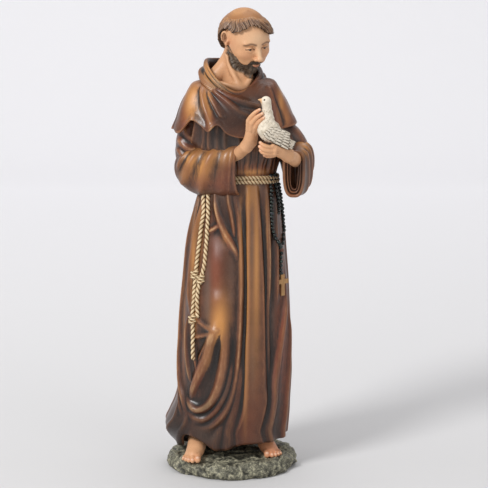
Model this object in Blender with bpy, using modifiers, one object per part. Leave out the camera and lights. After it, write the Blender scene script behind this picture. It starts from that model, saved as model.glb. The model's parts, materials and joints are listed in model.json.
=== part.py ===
"""Painted cast-resin figure of a friar saint who holds a dove, in one piece with its rocky ground.

Metres, +Z up. The origin is the middle of the ground's flat underside, and the figure looks along -Y.
The figure's own lengths below are millimetres of a figure that is FIGURE_SHARE high, and FIGURE_HEIGHT sets
how large that is. +X is on the right of someone who faces the statue.
"""

import math

import bmesh
import bpy
import numpy as np
from mathutils import Matrix, Vector

MM = 0.001

FIGURE_HEIGHT = 251.5 * MM
GROUND_WIDTH = 74.0 * MM
GROUND_DEPTH = 66.0 * MM
GROUND_THICKNESS = 8.5 * MM
CORD_DIAMETER = 2.2 * MM
ROSARY_DIAMETER = 1.5 * MM
CROSS_HEIGHT = 12.0 * MM
CROSS_WIDTH = 8.0 * MM
CROSS_BAR = 2.4 * MM
CROSS_THICKNESS = 2.2 * MM

FIGURE_SHARE = 251.5
VOXEL = 0.65 * MM
TRIANGLES = 9600

RESIN_BROWN = (0.19, 0.085, 0.04, 1.0)


def scaled(points):
    """Figure millimetres, counted from the ground's top, as metres of the real model."""
    points = np.asarray(points, float) * (FIGURE_HEIGHT / FIGURE_SHARE)
    points[..., 2] += GROUND_THICKNESS
    return points


def follow(keys, at):
    """A smooth curve through keys, each (position, values...), read at the positions in at."""
    keys = np.asarray(keys, float)
    place, value = keys[:, 0], keys[:, 1:]
    slope = np.gradient(value, place, axis=0)
    i = np.clip(np.searchsorted(place, at) - 1, 0, len(place) - 2)
    span = (place[i + 1] - place[i])[..., None]
    t = np.clip((np.asarray(at)[..., None] - place[i][..., None]) / span, 0, 1)
    return (
        (1 + 2 * t) * (1 - t) ** 2 * value[i]
        + t * (1 - t) ** 2 * span * slope[i]
        + t * t * (3 - 2 * t) * value[i + 1]
        + t * t * (t - 1) * span * slope[i + 1]
    )


def along(points, count):
    """count points on a smooth curve through points, evenly spread over their number."""
    points = np.asarray(points, float)
    keys = np.column_stack([np.arange(len(points)), points])
    return follow(keys, np.linspace(0, len(points) - 1, count))


def smooth_step(low, high, x):
    t = np.clip((x - low) / (high - low), 0, 1)
    return t * t * (3 - 2 * t)


def stroke_height(s, z, path, height, flatness=1.2):
    """The height of one carved fold at (s, z). path is a few (s, z, half width), and its ends fade out."""
    line = along(path, 7 * len(path))
    reach = 4 * line[:, 2].max()
    found = np.zeros(s.shape)
    near = (
        (s > line[:, 0].min() - reach)
        & (s < line[:, 0].max() + reach)
        & (z > line[:, 1].min() - reach)
        & (z < line[:, 1].max() + reach)
    )
    if not near.any():
        return found
    p = np.stack([s[near], z[near]], -1)[:, None, :]
    a, b = line[:-1, :2], line[1:, :2]
    ab = b - a
    t = np.clip(((p - a) * ab).sum(-1) / (ab * ab).sum(-1), 0, 1)
    gap = np.linalg.norm(p - (a + t[..., None] * ab), axis=-1)
    best = gap.argmin(1)
    rows = np.arange(len(best))
    travel = (best + t[rows, best]) / (len(line) - 1)
    width = np.interp(travel, np.linspace(0, 1, len(line)), line[:, 2])
    fade = smooth_step(0, 0.26, travel) * smooth_step(0, 0.22, 1 - travel)
    found[near] = height * fade / (1 + (gap[rows, best] / width) ** (2 * flatness))
    return found


def carve(s, z, forms, ridges):
    """Broad forms added up, with the highest of the ridges on top: round backs and sharp valleys."""
    high = np.zeros(s.shape)
    for height, flatness, path in ridges:
        high = np.maximum(high, stroke_height(s, z, path, height, flatness))
    for height, flatness, path in forms:
        high = high + stroke_height(s, z, path, height, flatness)
    return high


# Tunic

TUNIC_TOP = 207.0
# Height, left edge, right edge, front and back.
TUNIC_KEYS = [
    (0, -28, 29.6, -20.2, 22),
    (5, -31, 30.4, -20.6, 22.6),
    (10, -34.5, 31, -20.9, 23.2),
    (16, -37.8, 31.6, -21.2, 24),
    (22, -35.4, 32, -21.9, 24),
    (29, -32.2, 32.2, -22.6, 24),
    (37, -30, 32.6, -23.4, 23.6),
    (46, -29.2, 33, -24.2, 23),
    (60, -28.4, 32.6, -25.2, 22.5),
    (75, -27.4, 32, -25.2, 22),
    (88, -26.3, 31.4, -24.2, 21.5),
    (100, -25, 30.8, -22.7, 21),
    (113, -23.8, 29.8, -20.7, 20.5),
    (128, -22.2, 28.6, -18.7, 19.5),
    (139, -20.2, 27.6, -17.2, 18.5),
    (149, -17.9, 26.4, -16.2, 17),
    (158, -16.2, 25, -15.2, 15.6),
    (170, -20, 28, -18, 17.5),
    (182, -24, 30, -19, 18),
    (195, -25, 31, -18, 18),
    (205, -20, 25, -14, 15),
    (212, -12, 16, -9, 11),
]
# Angle from the front towards +X in degrees, and the hem's height there.
HEM_KEYS = [
    (-180, 3.0),
    (-120, 4.0),
    (-85, 6.0),
    (-62, 8.5),
    (-46, 13.5),
    (-35, 12.0),
    (-24, 4.8),
    (-12, 5.0),
    (10, 8.0),
    (35, 8.6),
    (60, 9.6),
    (90, 9.8),
    (130, 5.0),
    (180, 3.0),
]
# Height, flatness, and a path of (x, z, half width) over the front.
TUNIC_FORMS = [
    (2.0, 3.0, [
        (10.5, 157, 2.4), (11.4, 140, 3.4), (12.2, 120, 4.0), (12.4, 92, 4.4), (12.5, 63, 4.8),
        (12.2, 34, 6.0), (11.8, 4, 7.4),
    ]),
    (3.2, 1.4, [(-5.5, 132, 7), (-5.0, 112, 8.5), (-5.2, 92, 8.5), (-6.2, 78, 8), (-8, 60, 6)]),
    (1.6, 1.2, [(-5.6, 100, 5), (-6.0, 84, 6.5), (-7.4, 66, 6)]),
]
TUNIC_RIDGES = [
    (1.7, 1.2, [(18.6, 153, 1.0), (19.3, 120, 1.3), (19.3, 92, 1.4), (19.6, 60, 1.4), (19, 35, 1.2)]),
    (2.6, 1.1, [
        (29, 120, 1.2), (27.8, 97, 1.9), (25.6, 75, 2.2), (23.4, 55, 2.3), (22, 35, 2.3),
        (21.4, 12, 2.2),
    ]),
    (2.4, 1.1, [(31.2, 110, 1.4), (31, 80, 2.2), (29.6, 55, 2.4), (28, 32, 2.4), (27, 10, 2.4)]),
    (1.8, 1.2, [
        (2.4, 152, 1.0), (3.6, 134, 1.3), (4.7, 120, 1.4), (5.2, 92, 1.4), (5.0, 63, 1.5),
        (3.4, 40, 1.7), (0.6, 22, 1.8), (-2, 4, 1.8),
    ]),
    (1.4, 1.2, [(-2, 150, 0.8), (-0.3, 137, 1.1), (1.9, 126, 1.1), (4.0, 113, 0.9)]),
    (2.4, 1.2, [
        (-9.2, 150, 0.8), (-8.2, 140, 1.1), (-6.3, 131.5, 1.3), (-2.4, 125, 1.3), (1.4, 117.5, 1.3),
        (4.4, 106, 1.0),
    ]),
    (1.6, 1.2, [(-6.0, 132, 1.2), (-8.6, 130, 1.1), (-12, 129.4, 0.8)]),
    (1.8, 1.2, [(-6.0, 79, 2.0), (-11.3, 81, 1.3), (-16.5, 86, 1.0)]),
    (1.6, 1.2, [(-7.0, 76, 1.8), (-12.4, 71.6, 1.3), (-19, 65, 1.0)]),
    (2.8, 1.2, [
        (-6.6, 74, 1.8), (-10.7, 62, 1.9), (-15.2, 49.5, 1.9), (-19.4, 39, 1.7), (-24, 33.5, 1.2),
    ]),
    (3.0, 1.2, [
        (-4.6, 73, 1.6), (-3.7, 60.4, 2.0), (-4.8, 47.4, 2.1), (-8.6, 35, 2.1), (-14, 26.6, 2.1),
        (-20, 23, 1.9), (-26, 26, 1.2),
    ]),
    (1.6, 1.2, [(2.4, 76, 1.2), (1.8, 52, 1.4), (-1.6, 37.6, 1.5), (-6.6, 26, 1.6), (-12, 17, 1.4)]),
    (2.0, 1.2, [(0.8, 30, 1.3), (-4.5, 18, 1.7), (-9.4, 3, 2.0)]),
    (2.3, 1.2, [
        (-20, 150, 1.2), (-21.6, 131, 1.5), (-22.6, 113, 1.6), (-23.8, 92, 1.6), (-25.6, 69, 1.6),
        (-27.4, 52, 1.7), (-27, 40, 1.7), (-24, 30, 1.6), (-19.5, 25, 1.5), (-15.5, 23, 1.1),
    ]),
    (1.5, 1.2, [
        (-16.4, 148, 0.9), (-17.4, 131, 1.2), (-19, 113, 1.3), (-20.8, 92, 1.2), (-21.5, 75, 1.0),
    ]),
    (1.9, 1.2, [
        (-24.8, 66, 1.2), (-23.6, 49, 1.4), (-20.6, 36.4, 1.4), (-16.8, 31, 1.3), (-12.2, 32.6, 1.0),
    ]),
    (1.8, 1.2, [(15.2, 12, 1.8), (17.4, 26, 1.5), (18.4, 42, 1.2)]),
    (1.1, 1.2, [(8.5, 161, 0.8), (8.8, 168, 1.1), (8.2, 178, 1.0)]),
    (1.1, 1.2, [(12.4, 160, 0.8), (12.6, 167, 1.1), (12.2, 178, 1.0)]),
    (1.1, 1.2, [(16.6, 161, 0.8), (17.0, 168, 1.1), (17.4, 178, 1.0)]),
]
# Angle in degrees at the hem and at the waist, half width and height of the folds of the sides and back.
BACK_FOLDS = [
    (-158, -150, 2.6, 2.6),
    (-134, -128, 2.2, 2.0),
    (-112, -108, 2.4, 2.2),
    (104, 102, 2.2, 2.0),
    (122, 124, 2.6, 2.4),
    (146, 140, 2.4, 2.2),
    (172, 164, 3.0, 2.8),
]


def tunic_form(angle, z):
    """The plain form: middle, half width and half depth of the tunic at angle and height z."""
    left, right, front, back = np.moveaxis(follow(TUNIC_KEYS, z), -1, 0)
    middle_x, half = (left + right) / 2, (right - left) / 2
    middle_y = 0.5 * (front + back) + 0.0 * z
    depth = (back - front) / 2
    return middle_x, middle_y, half, depth


def tunic_point(angle, z, stand_off=0.0):
    """Points of the carved tunic. angle is in radians from the front towards +X, z in figure millimetres."""
    middle_x, middle_y, half, depth = tunic_form(angle, z)
    s = half * angle
    high = carve(s, z, on_tunic(TUNIC_FORMS), on_tunic(TUNIC_RIDGES))
    for hem, waist, width, height in BACK_FOLDS:
        centre = np.radians(hem + (waist - hem) * z / 150)
        gap = np.abs((angle - centre + math.pi) % (2 * math.pi) - math.pi) * half
        fade = smooth_step(165, 130, z) * 0.75 + 0.25
        high = np.maximum(high, height * fade / (1 + (gap / width) ** 2.6))
    belt = np.exp(-(((z - BELT_HEIGHT) / 4.5) ** 2))
    out = high * (1 - 0.75 * belt) + stand_off
    sine, cosine = np.sin(angle), np.cos(angle)
    squareness = 1 / (np.abs(sine) ** 2.3 + np.abs(cosine) ** 2.3) ** (1 / 2.3)
    normal = np.stack([sine / half, -cosine / depth], -1)
    normal /= np.linalg.norm(normal, axis=-1, keepdims=True)
    x = middle_x + half * sine * squareness + normal[..., 0] * out
    y = middle_y - depth * cosine * squareness + normal[..., 1] * out
    return np.stack([x, y, z + 0 * x], -1)


def on_tunic(strokes):
    """The strokes with x turned into the length of arc round the tunic."""
    turned = []
    for height, flatness, path in strokes:
        x, z, width = np.array(path, float).T
        middle_x, _, half, _ = tunic_form(0, z)
        s = half * np.arcsin(np.clip((x - middle_x) / half, -1, 1))
        turned.append((height, flatness, np.column_stack([s, z, width])))
    return turned


def front_angle(x, z):
    """The angle at which the tunic's front passes x."""
    middle_x, _, half, _ = tunic_form(0, z)
    return np.arcsin(np.clip((x - middle_x) / half, -1, 1))


def tunic_rings(columns, rows):
    """Rings from the cap inside the hem, out round its edge and up to the chest."""
    angle = np.linspace(-math.pi, math.pi, columns, endpoint=False)
    hem = follow(HEM_KEYS, np.degrees(angle))[:, 0]
    rings = []
    for rise, inward in ((5.0, 3.6), (1.2, 2.6), (0.0, 1.4)):
        rings.append(tunic_point(angle, hem + rise, -inward))
    for share in np.linspace(0, 1, rows) ** 1.0:
        z = hem + 0.6 + share * (TUNIC_TOP - hem - 0.6)
        rings.append(tunic_point(angle, z))
    return np.array(rings)


# Shoulder cape

CAPE_CENTRE = (1.8, 0.5)
# Share of the way from the neck to the hem, side radius and height, front radius and height, back ones.
CAPE_KEYS = [
    (0.0, 12, 215, 10, 209, 10, 217),
    (0.2, 17.6, 212, 14.5, 204.5, 15, 211.5),
    (0.4, 23.0, 207.5, 18.4, 199.5, 18.5, 204),
    (0.6, 27.0, 201, 20.8, 194, 20.5, 196),
    (0.8, 30.0, 193.5, 22.0, 188.5, 21.5, 187),
    (1.0, 32.2, 186, 22.8, 183, 22, 178),
]
# Height, flatness, and a path of (x, z, half width) over the front.
CAPE_RIDGES = [
    (2.6, 1.1, [
        (-16.5, 212, 1.8), (-20.8, 203, 2.3), (-24.4, 195, 2.6), (-26.4, 186, 2.6), (-27, 178, 2.4),
    ]),
    (2.7, 1.1, [
        (-14.6, 209, 1.3), (-13.4, 200, 1.7), (-11.4, 193, 2.0), (-9.8, 185, 2.2), (-8.6, 178, 2.2),
    ]),
    (1.4, 1.2, [(-12.4, 207.4, 0.9), (-8.2, 199, 1.2), (-4.2, 191.6, 1.1)]),
    (2.0, 1.2, [(-10, 208, 1.1), (-2.6, 201.4, 1.4), (3.8, 196.2, 1.5), (11, 193, 1.2)]),
    (1.7, 1.2, [(-8.4, 208.4, 1.0), (-0.6, 203.2, 1.3), (5.8, 200.6, 1.3), (15, 198.4, 1.1)]),
    (1.0, 1.2, [(0.8, 200, 0.8), (8.4, 196.6, 1.0), (15.4, 195.4, 0.8)]),
    (2.4, 1.1, [(18.6, 213, 1.6), (24.4, 204, 1.9), (28.6, 196, 2.1), (31.6, 187, 2.2), (33, 178, 2.2)]),
    (1.5, 1.1, [(18.4, 209, 1.1), (21.6, 201, 1.4), (24, 192, 1.6), (25.4, 180, 1.6)]),
]
# Angle in degrees at the neck and at the hem, half width and height of the folds on the sides and the back.
CAPE_BACK_FOLDS = [
    (-84, -86, 3.0, 2.0),
    (-108, -116, 3.0, 2.4),
    (-140, -150, 3.2, 2.4),
    (96, 94, 2.6, 1.8),
    (114, 122, 3.0, 2.4),
    (142, 154, 3.2, 2.4),
]
# Angle in degrees and how far the hem lifts there.
CAPE_HEM = [
    (-180, 0),
    (-125, 1.5),
    (-100, -1.5),
    (-80, -1.2),
    (-66, -2.0),
    (-52, 6.2),
    (-42, 4.0),
    (-32, 1.2),
    (-21, 5.4),
    (-11, 1.4),
    (2, -0.8),
    (35, -0.4),
    (60, 1.0),
    (90, 2.0),
    (112, -0.5),
    (130, 1.5),
    (180, 0),
]


def cape_point(angle, share, stand_off=0.0):
    """Points of the cape over the shoulders: share 0 is at the neck and 1 at the hem."""
    side_r, side_z, front_r, front_z, back_r, back_z = np.moveaxis(follow(CAPE_KEYS, share), -1, 0)
    sine, cosine = np.sin(angle), np.cos(angle)
    end_r = np.where(cosine > 0, front_r, back_r)
    end_z = np.where(cosine > 0, front_z, back_z)
    radius = 1 / (np.abs(sine / side_r) ** 2.2 + np.abs(cosine / end_r) ** 2.2) ** (1 / 2.2)
    lift = follow(CAPE_HEM, np.degrees(angle))[..., 0]
    level = end_z + (side_z - end_z) * sine**2 + lift * smooth_step(0.55, 1.0, share)
    x = CAPE_CENTRE[0] + radius * sine
    plain = level - lift * smooth_step(0.55, 1.0, share) * 0.5
    high = carve(x, plain, [], CAPE_RIDGES) * smooth_step(-0.25, 0.1, cosine)
    for neck, hem, width, height in CAPE_BACK_FOLDS:
        centre = np.radians(neck + (hem - neck) * share)
        gap = np.abs((angle - centre + math.pi) % (2 * math.pi) - math.pi) * radius
        high = np.maximum(high, height * smooth_step(0.1, 0.7, share) / (1 + (gap / width) ** 2.4))
    out = high + 1.0 * smooth_step(0.82, 1.0, share) + stand_off
    x = x + out * sine
    y = CAPE_CENTRE[1] - (radius + out) * cosine
    rise = out * (1 - smooth_step(0.1, 0.7, share)) * 0.6
    return np.stack([x, y, level + rise], -1)


def cape_rings(columns, rows):
    angle = np.linspace(-math.pi, math.pi, columns, endpoint=False)
    rings = [cape_point(angle, np.full(columns, 0.62), -3.5)]
    for share, inward in ((0.9, -2.2), (0.985, -1.6)):
        rings.append(cape_point(angle, np.full(columns, share), inward))
    for share in np.linspace(1, 0, rows):
        rings.append(cape_point(angle, np.full(columns, share)))
    return np.array(rings)


# Cowl and hood

# Angle in degrees, radius to the inner rim, and the rim's height.
COWL_KEYS = [
    (-180, 12.5, 221.5),
    (-130, 14.2, 222.5),
    (-95, 14.4, 222.5),
    (-62, 14.2, 217.5),
    (-30, 13.8, 211),
    (5, 13.0, 206),
    (25, 12.6, 207.2),
    (60, 12.8, 213),
    (90, 13.0, 217),
    (130, 12.6, 220.5),
    (180, 12.5, 221.5),
]
# Distance out from the inner rim, and height above it, round the cowl's section.
COWL_SECTION = [
    (2.5, -13.0),
    (0.4, -8.0),
    (-0.2, -2.5),
    (0.6, -0.3),
    (1.8, 0.1),
    (2.9, -1.4),
    (3.6, -4.2),
    (3.2, -5.6),
    (4.4, -6.4),
    (5.4, -8.4),
    (5.4, -10.8),
    (4.6, -12.4),
    (3.6, -14.0),
]
COWL_CENTRE = (1.9, 1.0)


def cowl_rings(columns, sections):
    """Rings round the cowl's section; the last joins the first, so that the cowl is a closed band."""
    angle = np.linspace(-math.pi, math.pi, columns, endpoint=False)
    inner, rim = follow(COWL_KEYS, np.degrees(angle)).T
    out = along(COWL_SECTION + COWL_SECTION[:1], sections + 1)[:-1]
    rings = []
    for step, rise in out:
        radius = inner + step
        x = COWL_CENTRE[0] + radius * np.sin(angle)
        y = COWL_CENTRE[1] - radius * np.cos(angle)
        rings.append(np.stack([x, y, rim + rise], -1))
    return np.array(rings)


# Height, middle x, half width, and how far back the hood reaches there.
HOOD_KEYS = [
    (221, 2, 10.5, 14.5),
    (216, 2, 15.5, 18.5),
    (209, 2, 17.6, 22.5),
    (201, 2, 17.0, 25.6),
    (193, 2, 14.6, 27.2),
    (186, 2, 10.6, 27.4),
    (180, 2, 6.0, 26.4),
    (176, 2, 2.0, 24.8),
]
HOOD_FRONT = 12.0
# Fold paths of (x, z, half width) over the hood, seen from behind, with their height and flatness.
HOOD_RIDGES = [
    (2.2, 1.2, [(-17, 214, 1.6), (-10, 203, 2.0), (2, 197, 2.2), (14, 203, 2.0), (21, 214, 1.6)]),
    (2.0, 1.2, [(-16, 205, 1.4), (-9, 194, 1.8), (2, 188, 2.0), (13, 194, 1.8), (20, 205, 1.4)]),
    (1.6, 1.2, [(-11, 215, 1.3), (-6, 208, 1.6), (2, 205, 1.7), (10, 208, 1.6), (15, 215, 1.3)]),
]


def hood_rings(columns, rows):
    """The hood laid back between the shoulders, as rings from its tip up to the cowl."""
    angle = np.linspace(-math.pi, math.pi, columns, endpoint=False)
    rings = []
    for z in np.linspace(HOOD_KEYS[-1][0], HOOD_KEYS[0][0], rows):
        middle, half, back = follow(HOOD_KEYS[::-1], np.array([z]))[0]
        depth = back - HOOD_FRONT
        sine, cosine = np.sin(angle), np.cos(angle)
        square = 1 / (np.abs(sine) ** 2.6 + np.abs(cosine) ** 2.6) ** (1 / 2.6)
        x = middle + half * sine * square
        y = HOOD_FRONT - depth * cosine * square
        high = carve(x, np.full(columns, z), [], HOOD_RIDGES) * smooth_step(0.0, 0.4, -cosine)
        rings.append(np.stack([x, y + high, np.full(columns, z)], -1))
    return np.array(rings)


# Sleeves

# Distance from the elbow's end along the forearm, reach up, down, to the front and to the back.
LEFT_SLEEVE_START = (-31.2, -1.0, 163.5)
LEFT_SLEEVE_WAY = (0.93, -0.37, 0.0)
LEFT_SLEEVE_KEYS = [
    (0.0, 0.4, 0.4, 0.4, 0.4),
    (1.2, 4.5, 4.5, 4.0, 4.0),
    (4.0, 8.0, 9.0, 7.0, 7.0),
    (9.0, 11.0, 13.0, 9.0, 9.5),
    (16, 12.6, 14.8, 9.8, 10),
    (25, 14.0, 15.2, 9.8, 9),
    (33, 15.2, 15.0, 9.0, 7.5),
    (38.5, 16.0, 14.2, 8.0, 6.5),
]
LEFT_SLEEVE_RIDGES = [
    (1.6, 1.2, [(36, -12, 1.2), (34.5, 0, 1.5), (32, 12, 1.4), (30.0, 20, 1.1)]),
    (1.8, 1.2, [(29, -13, 1.2), (26.5, -2, 1.6), (22.5, 9, 1.6), (18, 19, 1.2)]),
    (1.8, 1.2, [(23, -12, 1.2), (17.5, -3, 1.6), (11.5, 6, 1.6), (6.0, 13, 1.1)]),
    (1.5, 1.2, [(15, -12, 1.0), (10, -5, 1.3), (5.0, 3, 1.1)]),
]
RIGHT_SLEEVE_START = (38.6, 14.0, 166.0)
RIGHT_SLEEVE_WAY = (-0.13, -0.99, 0.0)
RIGHT_SLEEVE_KEYS = [
    (0.0, 0.4, 0.4, 0.4, 0.4),
    (1.2, 5.5, 5.5, 3.6, 3.6),
    (4.0, 9.0, 10.0, 6.0, 6.0),
    (9.0, 12, 14.0, 7.6, 7.6),
    (17, 12.5, 16.5, 7.6, 7.6),
    (26, 10.5, 18.0, 7.2, 7.0),
    (33, 8.5, 18.2, 6.8, 6.4),
]
RIGHT_SLEEVE_RIDGES = [
    (1.4, 1.2, [(30, -9, 1.2), (27, 0, 1.6), (24, 10, 1.4)]),
    (1.6, 1.2, [(23, -10, 1.2), (19, 0, 1.6), (15, 10, 1.4)]),
    (1.4, 1.2, [(14, -10, 1.2), (10, -2, 1.6), (7, 6, 1.2)]),
]
CUFF_LIP = 1.3
CUFF_DEPTH = 9.0


def sleeve_rings(start, way, keys, ridges, columns, rows, side):
    """A bell sleeve round the forearm, with its cuff hollowed. side is +1 where its outside faces right."""
    start, way = np.array(start), np.array(way) / np.linalg.norm(way)
    across = np.cross((0, 0, 1), way) * -side
    angle = np.linspace(-math.pi, math.pi, columns, endpoint=False)
    length = keys[-1][0]

    def ring(distance, inward):
        up, down, front, back = follow(keys, np.full(columns, distance)).T
        sine, cosine = np.sin(angle), np.cos(angle)
        tall = np.where(sine > 0, up, down) - inward
        wide = np.where(cosine > 0, front, back) - inward
        round_arc = angle * 9.0
        high = 0.0
        if inward == 0:
            high = carve(np.full(columns, distance), -round_arc, [], ridges)
        reach = np.stack([cosine * (wide + high), sine * (tall + high)], -1)
        return start + way * distance + reach[:, :1] * across + reach[:, 1:] * np.array((0, 0, 1))

    rings = [ring(d, 0) for d in length * np.linspace(0, 1, rows) ** 1.3]
    rings.append(ring(length, CUFF_LIP * 0.5) + way * 0.4)
    rings += [ring(length - back, CUFF_LIP) for back in (0.0, CUFF_DEPTH * 0.5)]
    rings.append(ring(length - CUFF_DEPTH, CUFF_LIP * 2.2))
    return np.array(rings)


# Upper arms: height, middle x and y, half width and half depth.
LEFT_ARM_KEYS = [
    (160, -21, 0, 6, 8), (168, -22.4, 0.5, 8.2, 10), (178, -22.4, 1, 8.0, 10),
    (190, -20, 1, 8.0, 9.5), (203, -14, 1, 7, 8),
]
RIGHT_ARM_KEYS = [
    (158, 35, 4, 6, 8), (168, 34.6, 4, 8.2, 10), (178, 32.4, 3, 8.6, 10.5), (190, 24.4, 2, 8.0, 9.5),
    (203, 18, 1, 7, 8),
]


def upright_rings(keys, columns, rows):
    angle = np.linspace(-math.pi, math.pi, columns, endpoint=False)
    rings = []
    for z in np.linspace(keys[0][0], keys[-1][0], rows):
        x, y, wide, deep = follow(keys, np.array([z]))[0]
        across, back = x + wide * np.sin(angle), y - deep * np.cos(angle)
        rings.append(np.stack([across, back, np.full(columns, z)], -1))
    return np.array(rings)


# Head

HEAD_CENTRE = (8.4, -3.0, 231.6)
HEAD_TURN = 30.0
HEAD_NOD = 20.0
HEAD_LEAN = -5.0
# Middle and radii in the head's own frame: +X its right side as seen, -Y the face, +Z the crown.
HEAD_BLOBS = {
    "skull": ((0, 2.4, 5.4), (12.6, 15.2, 13.8)),
    "face": ((0, -4.6, -0.4), (10.2, 8.4, 13.4)),
    "cheeks": ((0, -6.0, -2.6), (8.8, 6.4, 6.0)),
    "jaw": ((0, -4.4, -8.4), (8.2, 8.0, 7.2)),
    "beard": ((0, -8.2, -12.2), (6.0, 5.0, 5.0)),
    "moustache": ((0, -12.2, -5.9), (4.4, 1.9, 1.2)),
    "lips": ((0, -12.8, -7.6), (2.7, 1.3, 1.1)),
    "nose": ((0, -13.0, -0.6), (1.3, 2.0, 4.2)),
    "nose_tip": ((0, -14.4, -3.2), (1.9, 1.6, 1.3)),
    "brow": ((0, -9.8, 4.8), (8.0, 3.0, 1.9)),
    "left_ear": ((-12.2, 1.2, 0.6), (1.5, 2.8, 4.6)),
    "right_ear": ((12.2, 1.2, 0.6), (1.5, 2.8, 4.6)),
}
# Angle round the head from the face in degrees, and the heights of the hair's upper and lower edge.
HAIR_KEYS = [
    (-180, 13.4, -8.5),
    (-150, 13.4, -8.0),
    (-125, 13.6, -3.0),
    (-105, 13.8, 5.0),
    (-90, 14.0, 5.6),
    (-75, 14.6, 4.0),
    (-55, 15.6, 8.4),
    (-35, 16.6, 10.4),
    (0, 17.4, 13.2),
    (35, 16.6, 10.4),
    (55, 15.6, 8.4),
    (75, 14.6, 4.0),
    (90, 14.0, 5.6),
    (105, 13.8, 5.0),
    (125, 13.6, -3.0),
    (150, 13.4, -8.0),
    (180, 13.4, -8.5),
]
HAIR_THICKNESS = 2.4
HAIR_LOCKS = 26
LOCK_DEPTH = 0.22


def hair_rings(columns, rows):
    """A ring of hair round the skull below its bare crown, as a closed band."""
    (middle, radii) = HEAD_BLOBS["skull"]
    angle = np.linspace(-math.pi, math.pi, columns, endpoint=False)
    top, bottom = follow(HAIR_KEYS, np.degrees(angle)).T
    locks = 1 + LOCK_DEPTH * np.sin(HAIR_LOCKS * angle)
    rings = []
    for share in np.linspace(0, 1, rows):
        level = bottom + (top - bottom) * share
        swell = (0.25 + 1.5 * (share * (1 - share)) ** 0.4) * (1 - 0.55 * share)
        rings.append((level, HAIR_THICKNESS * swell * locks))
    rings += [(level, 0 * thick - 1.6) for level, thick in rings[::-1]]
    points = []
    for level, thick in rings:
        across = np.sqrt(np.clip(1 - ((level - middle[2]) / radii[2]) ** 2, 0.05, 1))
        x = middle[0] + (radii[0] * across + thick) * np.sin(angle)
        y = middle[1] - (radii[1] * across + thick) * np.cos(angle)
        points.append(np.stack([x, y, level], -1))
    frame = np.array(head_frame())
    points = np.array(points)
    return points @ frame[:3, :3].T + frame[:3, 3]


def head_frame():
    turn = Matrix.Rotation(math.radians(HEAD_TURN), 4, "Z")
    nod = Matrix.Rotation(math.radians(HEAD_NOD), 4, "X")
    lean = Matrix.Rotation(math.radians(HEAD_LEAN), 4, "Y")
    return Matrix.Translation(HEAD_CENTRE) @ turn @ lean @ nod


# Hands, feet and dove, as limbs of (x, y, z, radius)

SKIN_LIMBS = {
    "neck": [(3.6, 3.2, 200, 9.4), (4.6, 2.4, 210, 8.4), (6.4, 0.4, 221, 8.0), (8, -1.5, 230, 7.5)],
    "left_wrist": [(-4, -17, 168, 4.2), (3.5, -23.5, 174, 3.8), (7.6, -27.8, 179.4, 3.9)],
    "left_palm": [(7.2, -27.6, 178.6, 4.0), (9.4, -30.0, 183.6, 4.5), (10.8, -31.6, 189, 4.0)],
    "left_finger_1": [
        (9.4, -32.0, 190, 1.9), (10.6, -34.0, 196, 1.7), (13.6, -35.2, 200.4, 1.4),
        (16, -35.4, 202.6, 1.1),
    ],
    "left_finger_2": [
        (11.4, -32.8, 190, 1.9), (12.8, -35.0, 194.6, 1.7), (15.2, -36.4, 198.4, 1.4),
        (17.6, -36.4, 200.2, 1.1),
    ],
    "left_finger_3": [
        (12.8, -31.0, 188.4, 1.9), (14.6, -33.2, 191.6, 1.7), (16.8, -35.2, 194.6, 1.4),
        (18.6, -36.0, 196.6, 1.1),
    ],
    "left_thumb": [(11.2, -28.4, 184, 2.2), (14.0, -28.6, 189, 1.9), (16, -29.4, 193, 1.5)],
    "right_wrist": [(35.0, -14, 168, 4.6), (33.6, -22.5, 170, 4.5), (30.4, -28.4, 173.4, 4.1)],
    "right_palm": [(31, -28, 173, 4.2), (26.5, -32, 175.6, 4.5), (21.6, -34.4, 177.4, 4.2)],
    "right_finger_1": [(22.6, -37.0, 178.4, 1.9), (18.6, -38.4, 178.8, 1.8), (16.2, -37.0, 181.6, 1.5)],
    "right_finger_2": [(22.4, -36.4, 176.0, 1.9), (18.0, -37.6, 176.0, 1.8), (15.6, -36.2, 178.8, 1.5)],
    "right_finger_3": [(22.4, -34.8, 174.2, 1.9), (18.2, -35.8, 173.6, 1.8), (15.8, -34.8, 176.2, 1.5)],
    "right_thumb": [(26, -36.2, 179, 2.0), (22.6, -38.6, 181.0, 1.8), (20.0, -38.6, 183, 1.4)],
    "left_ankle": [(-15, -3, 14, 5.0), (-16.6, -8, 8.5, 4.8), (-18.6, -14.5, 4.6, 4.4)],
    "left_foot": [(-18, -12, 4.4, 4.6), (-19.8, -18, 3.4, 4.6), (-20.8, -22, 2.2, 3.6)],
    "right_ankle": [(17, 2, 12, 4.6), (19, -2, 6.6, 4.4), (21, -6, 4.0, 4.2)],
    "right_foot": [(20.6, -5, 4.0, 4.2), (22.6, -9.5, 2.8, 4.4), (23.8, -12.5, 2.0, 3.4)],
}
TOES = {
    "left": [
        ((-17.4, -23.4, 1.9), 2.5), ((-20.6, -25.0, 1.5), 1.8), ((-23.0, -24.2, 1.4), 1.6),
        ((-25.0, -22.6, 1.3), 1.5), ((-26.6, -20.6, 1.2), 1.4),
    ],
    "right": [
        ((20.8, -14.6, 1.9), 2.3), ((23.4, -15.2, 1.5), 1.7), ((25.4, -14.2, 1.4), 1.6),
        ((27.0, -12.6, 1.3), 1.5), ((28.2, -10.8, 1.2), 1.3),
    ],
}
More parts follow.
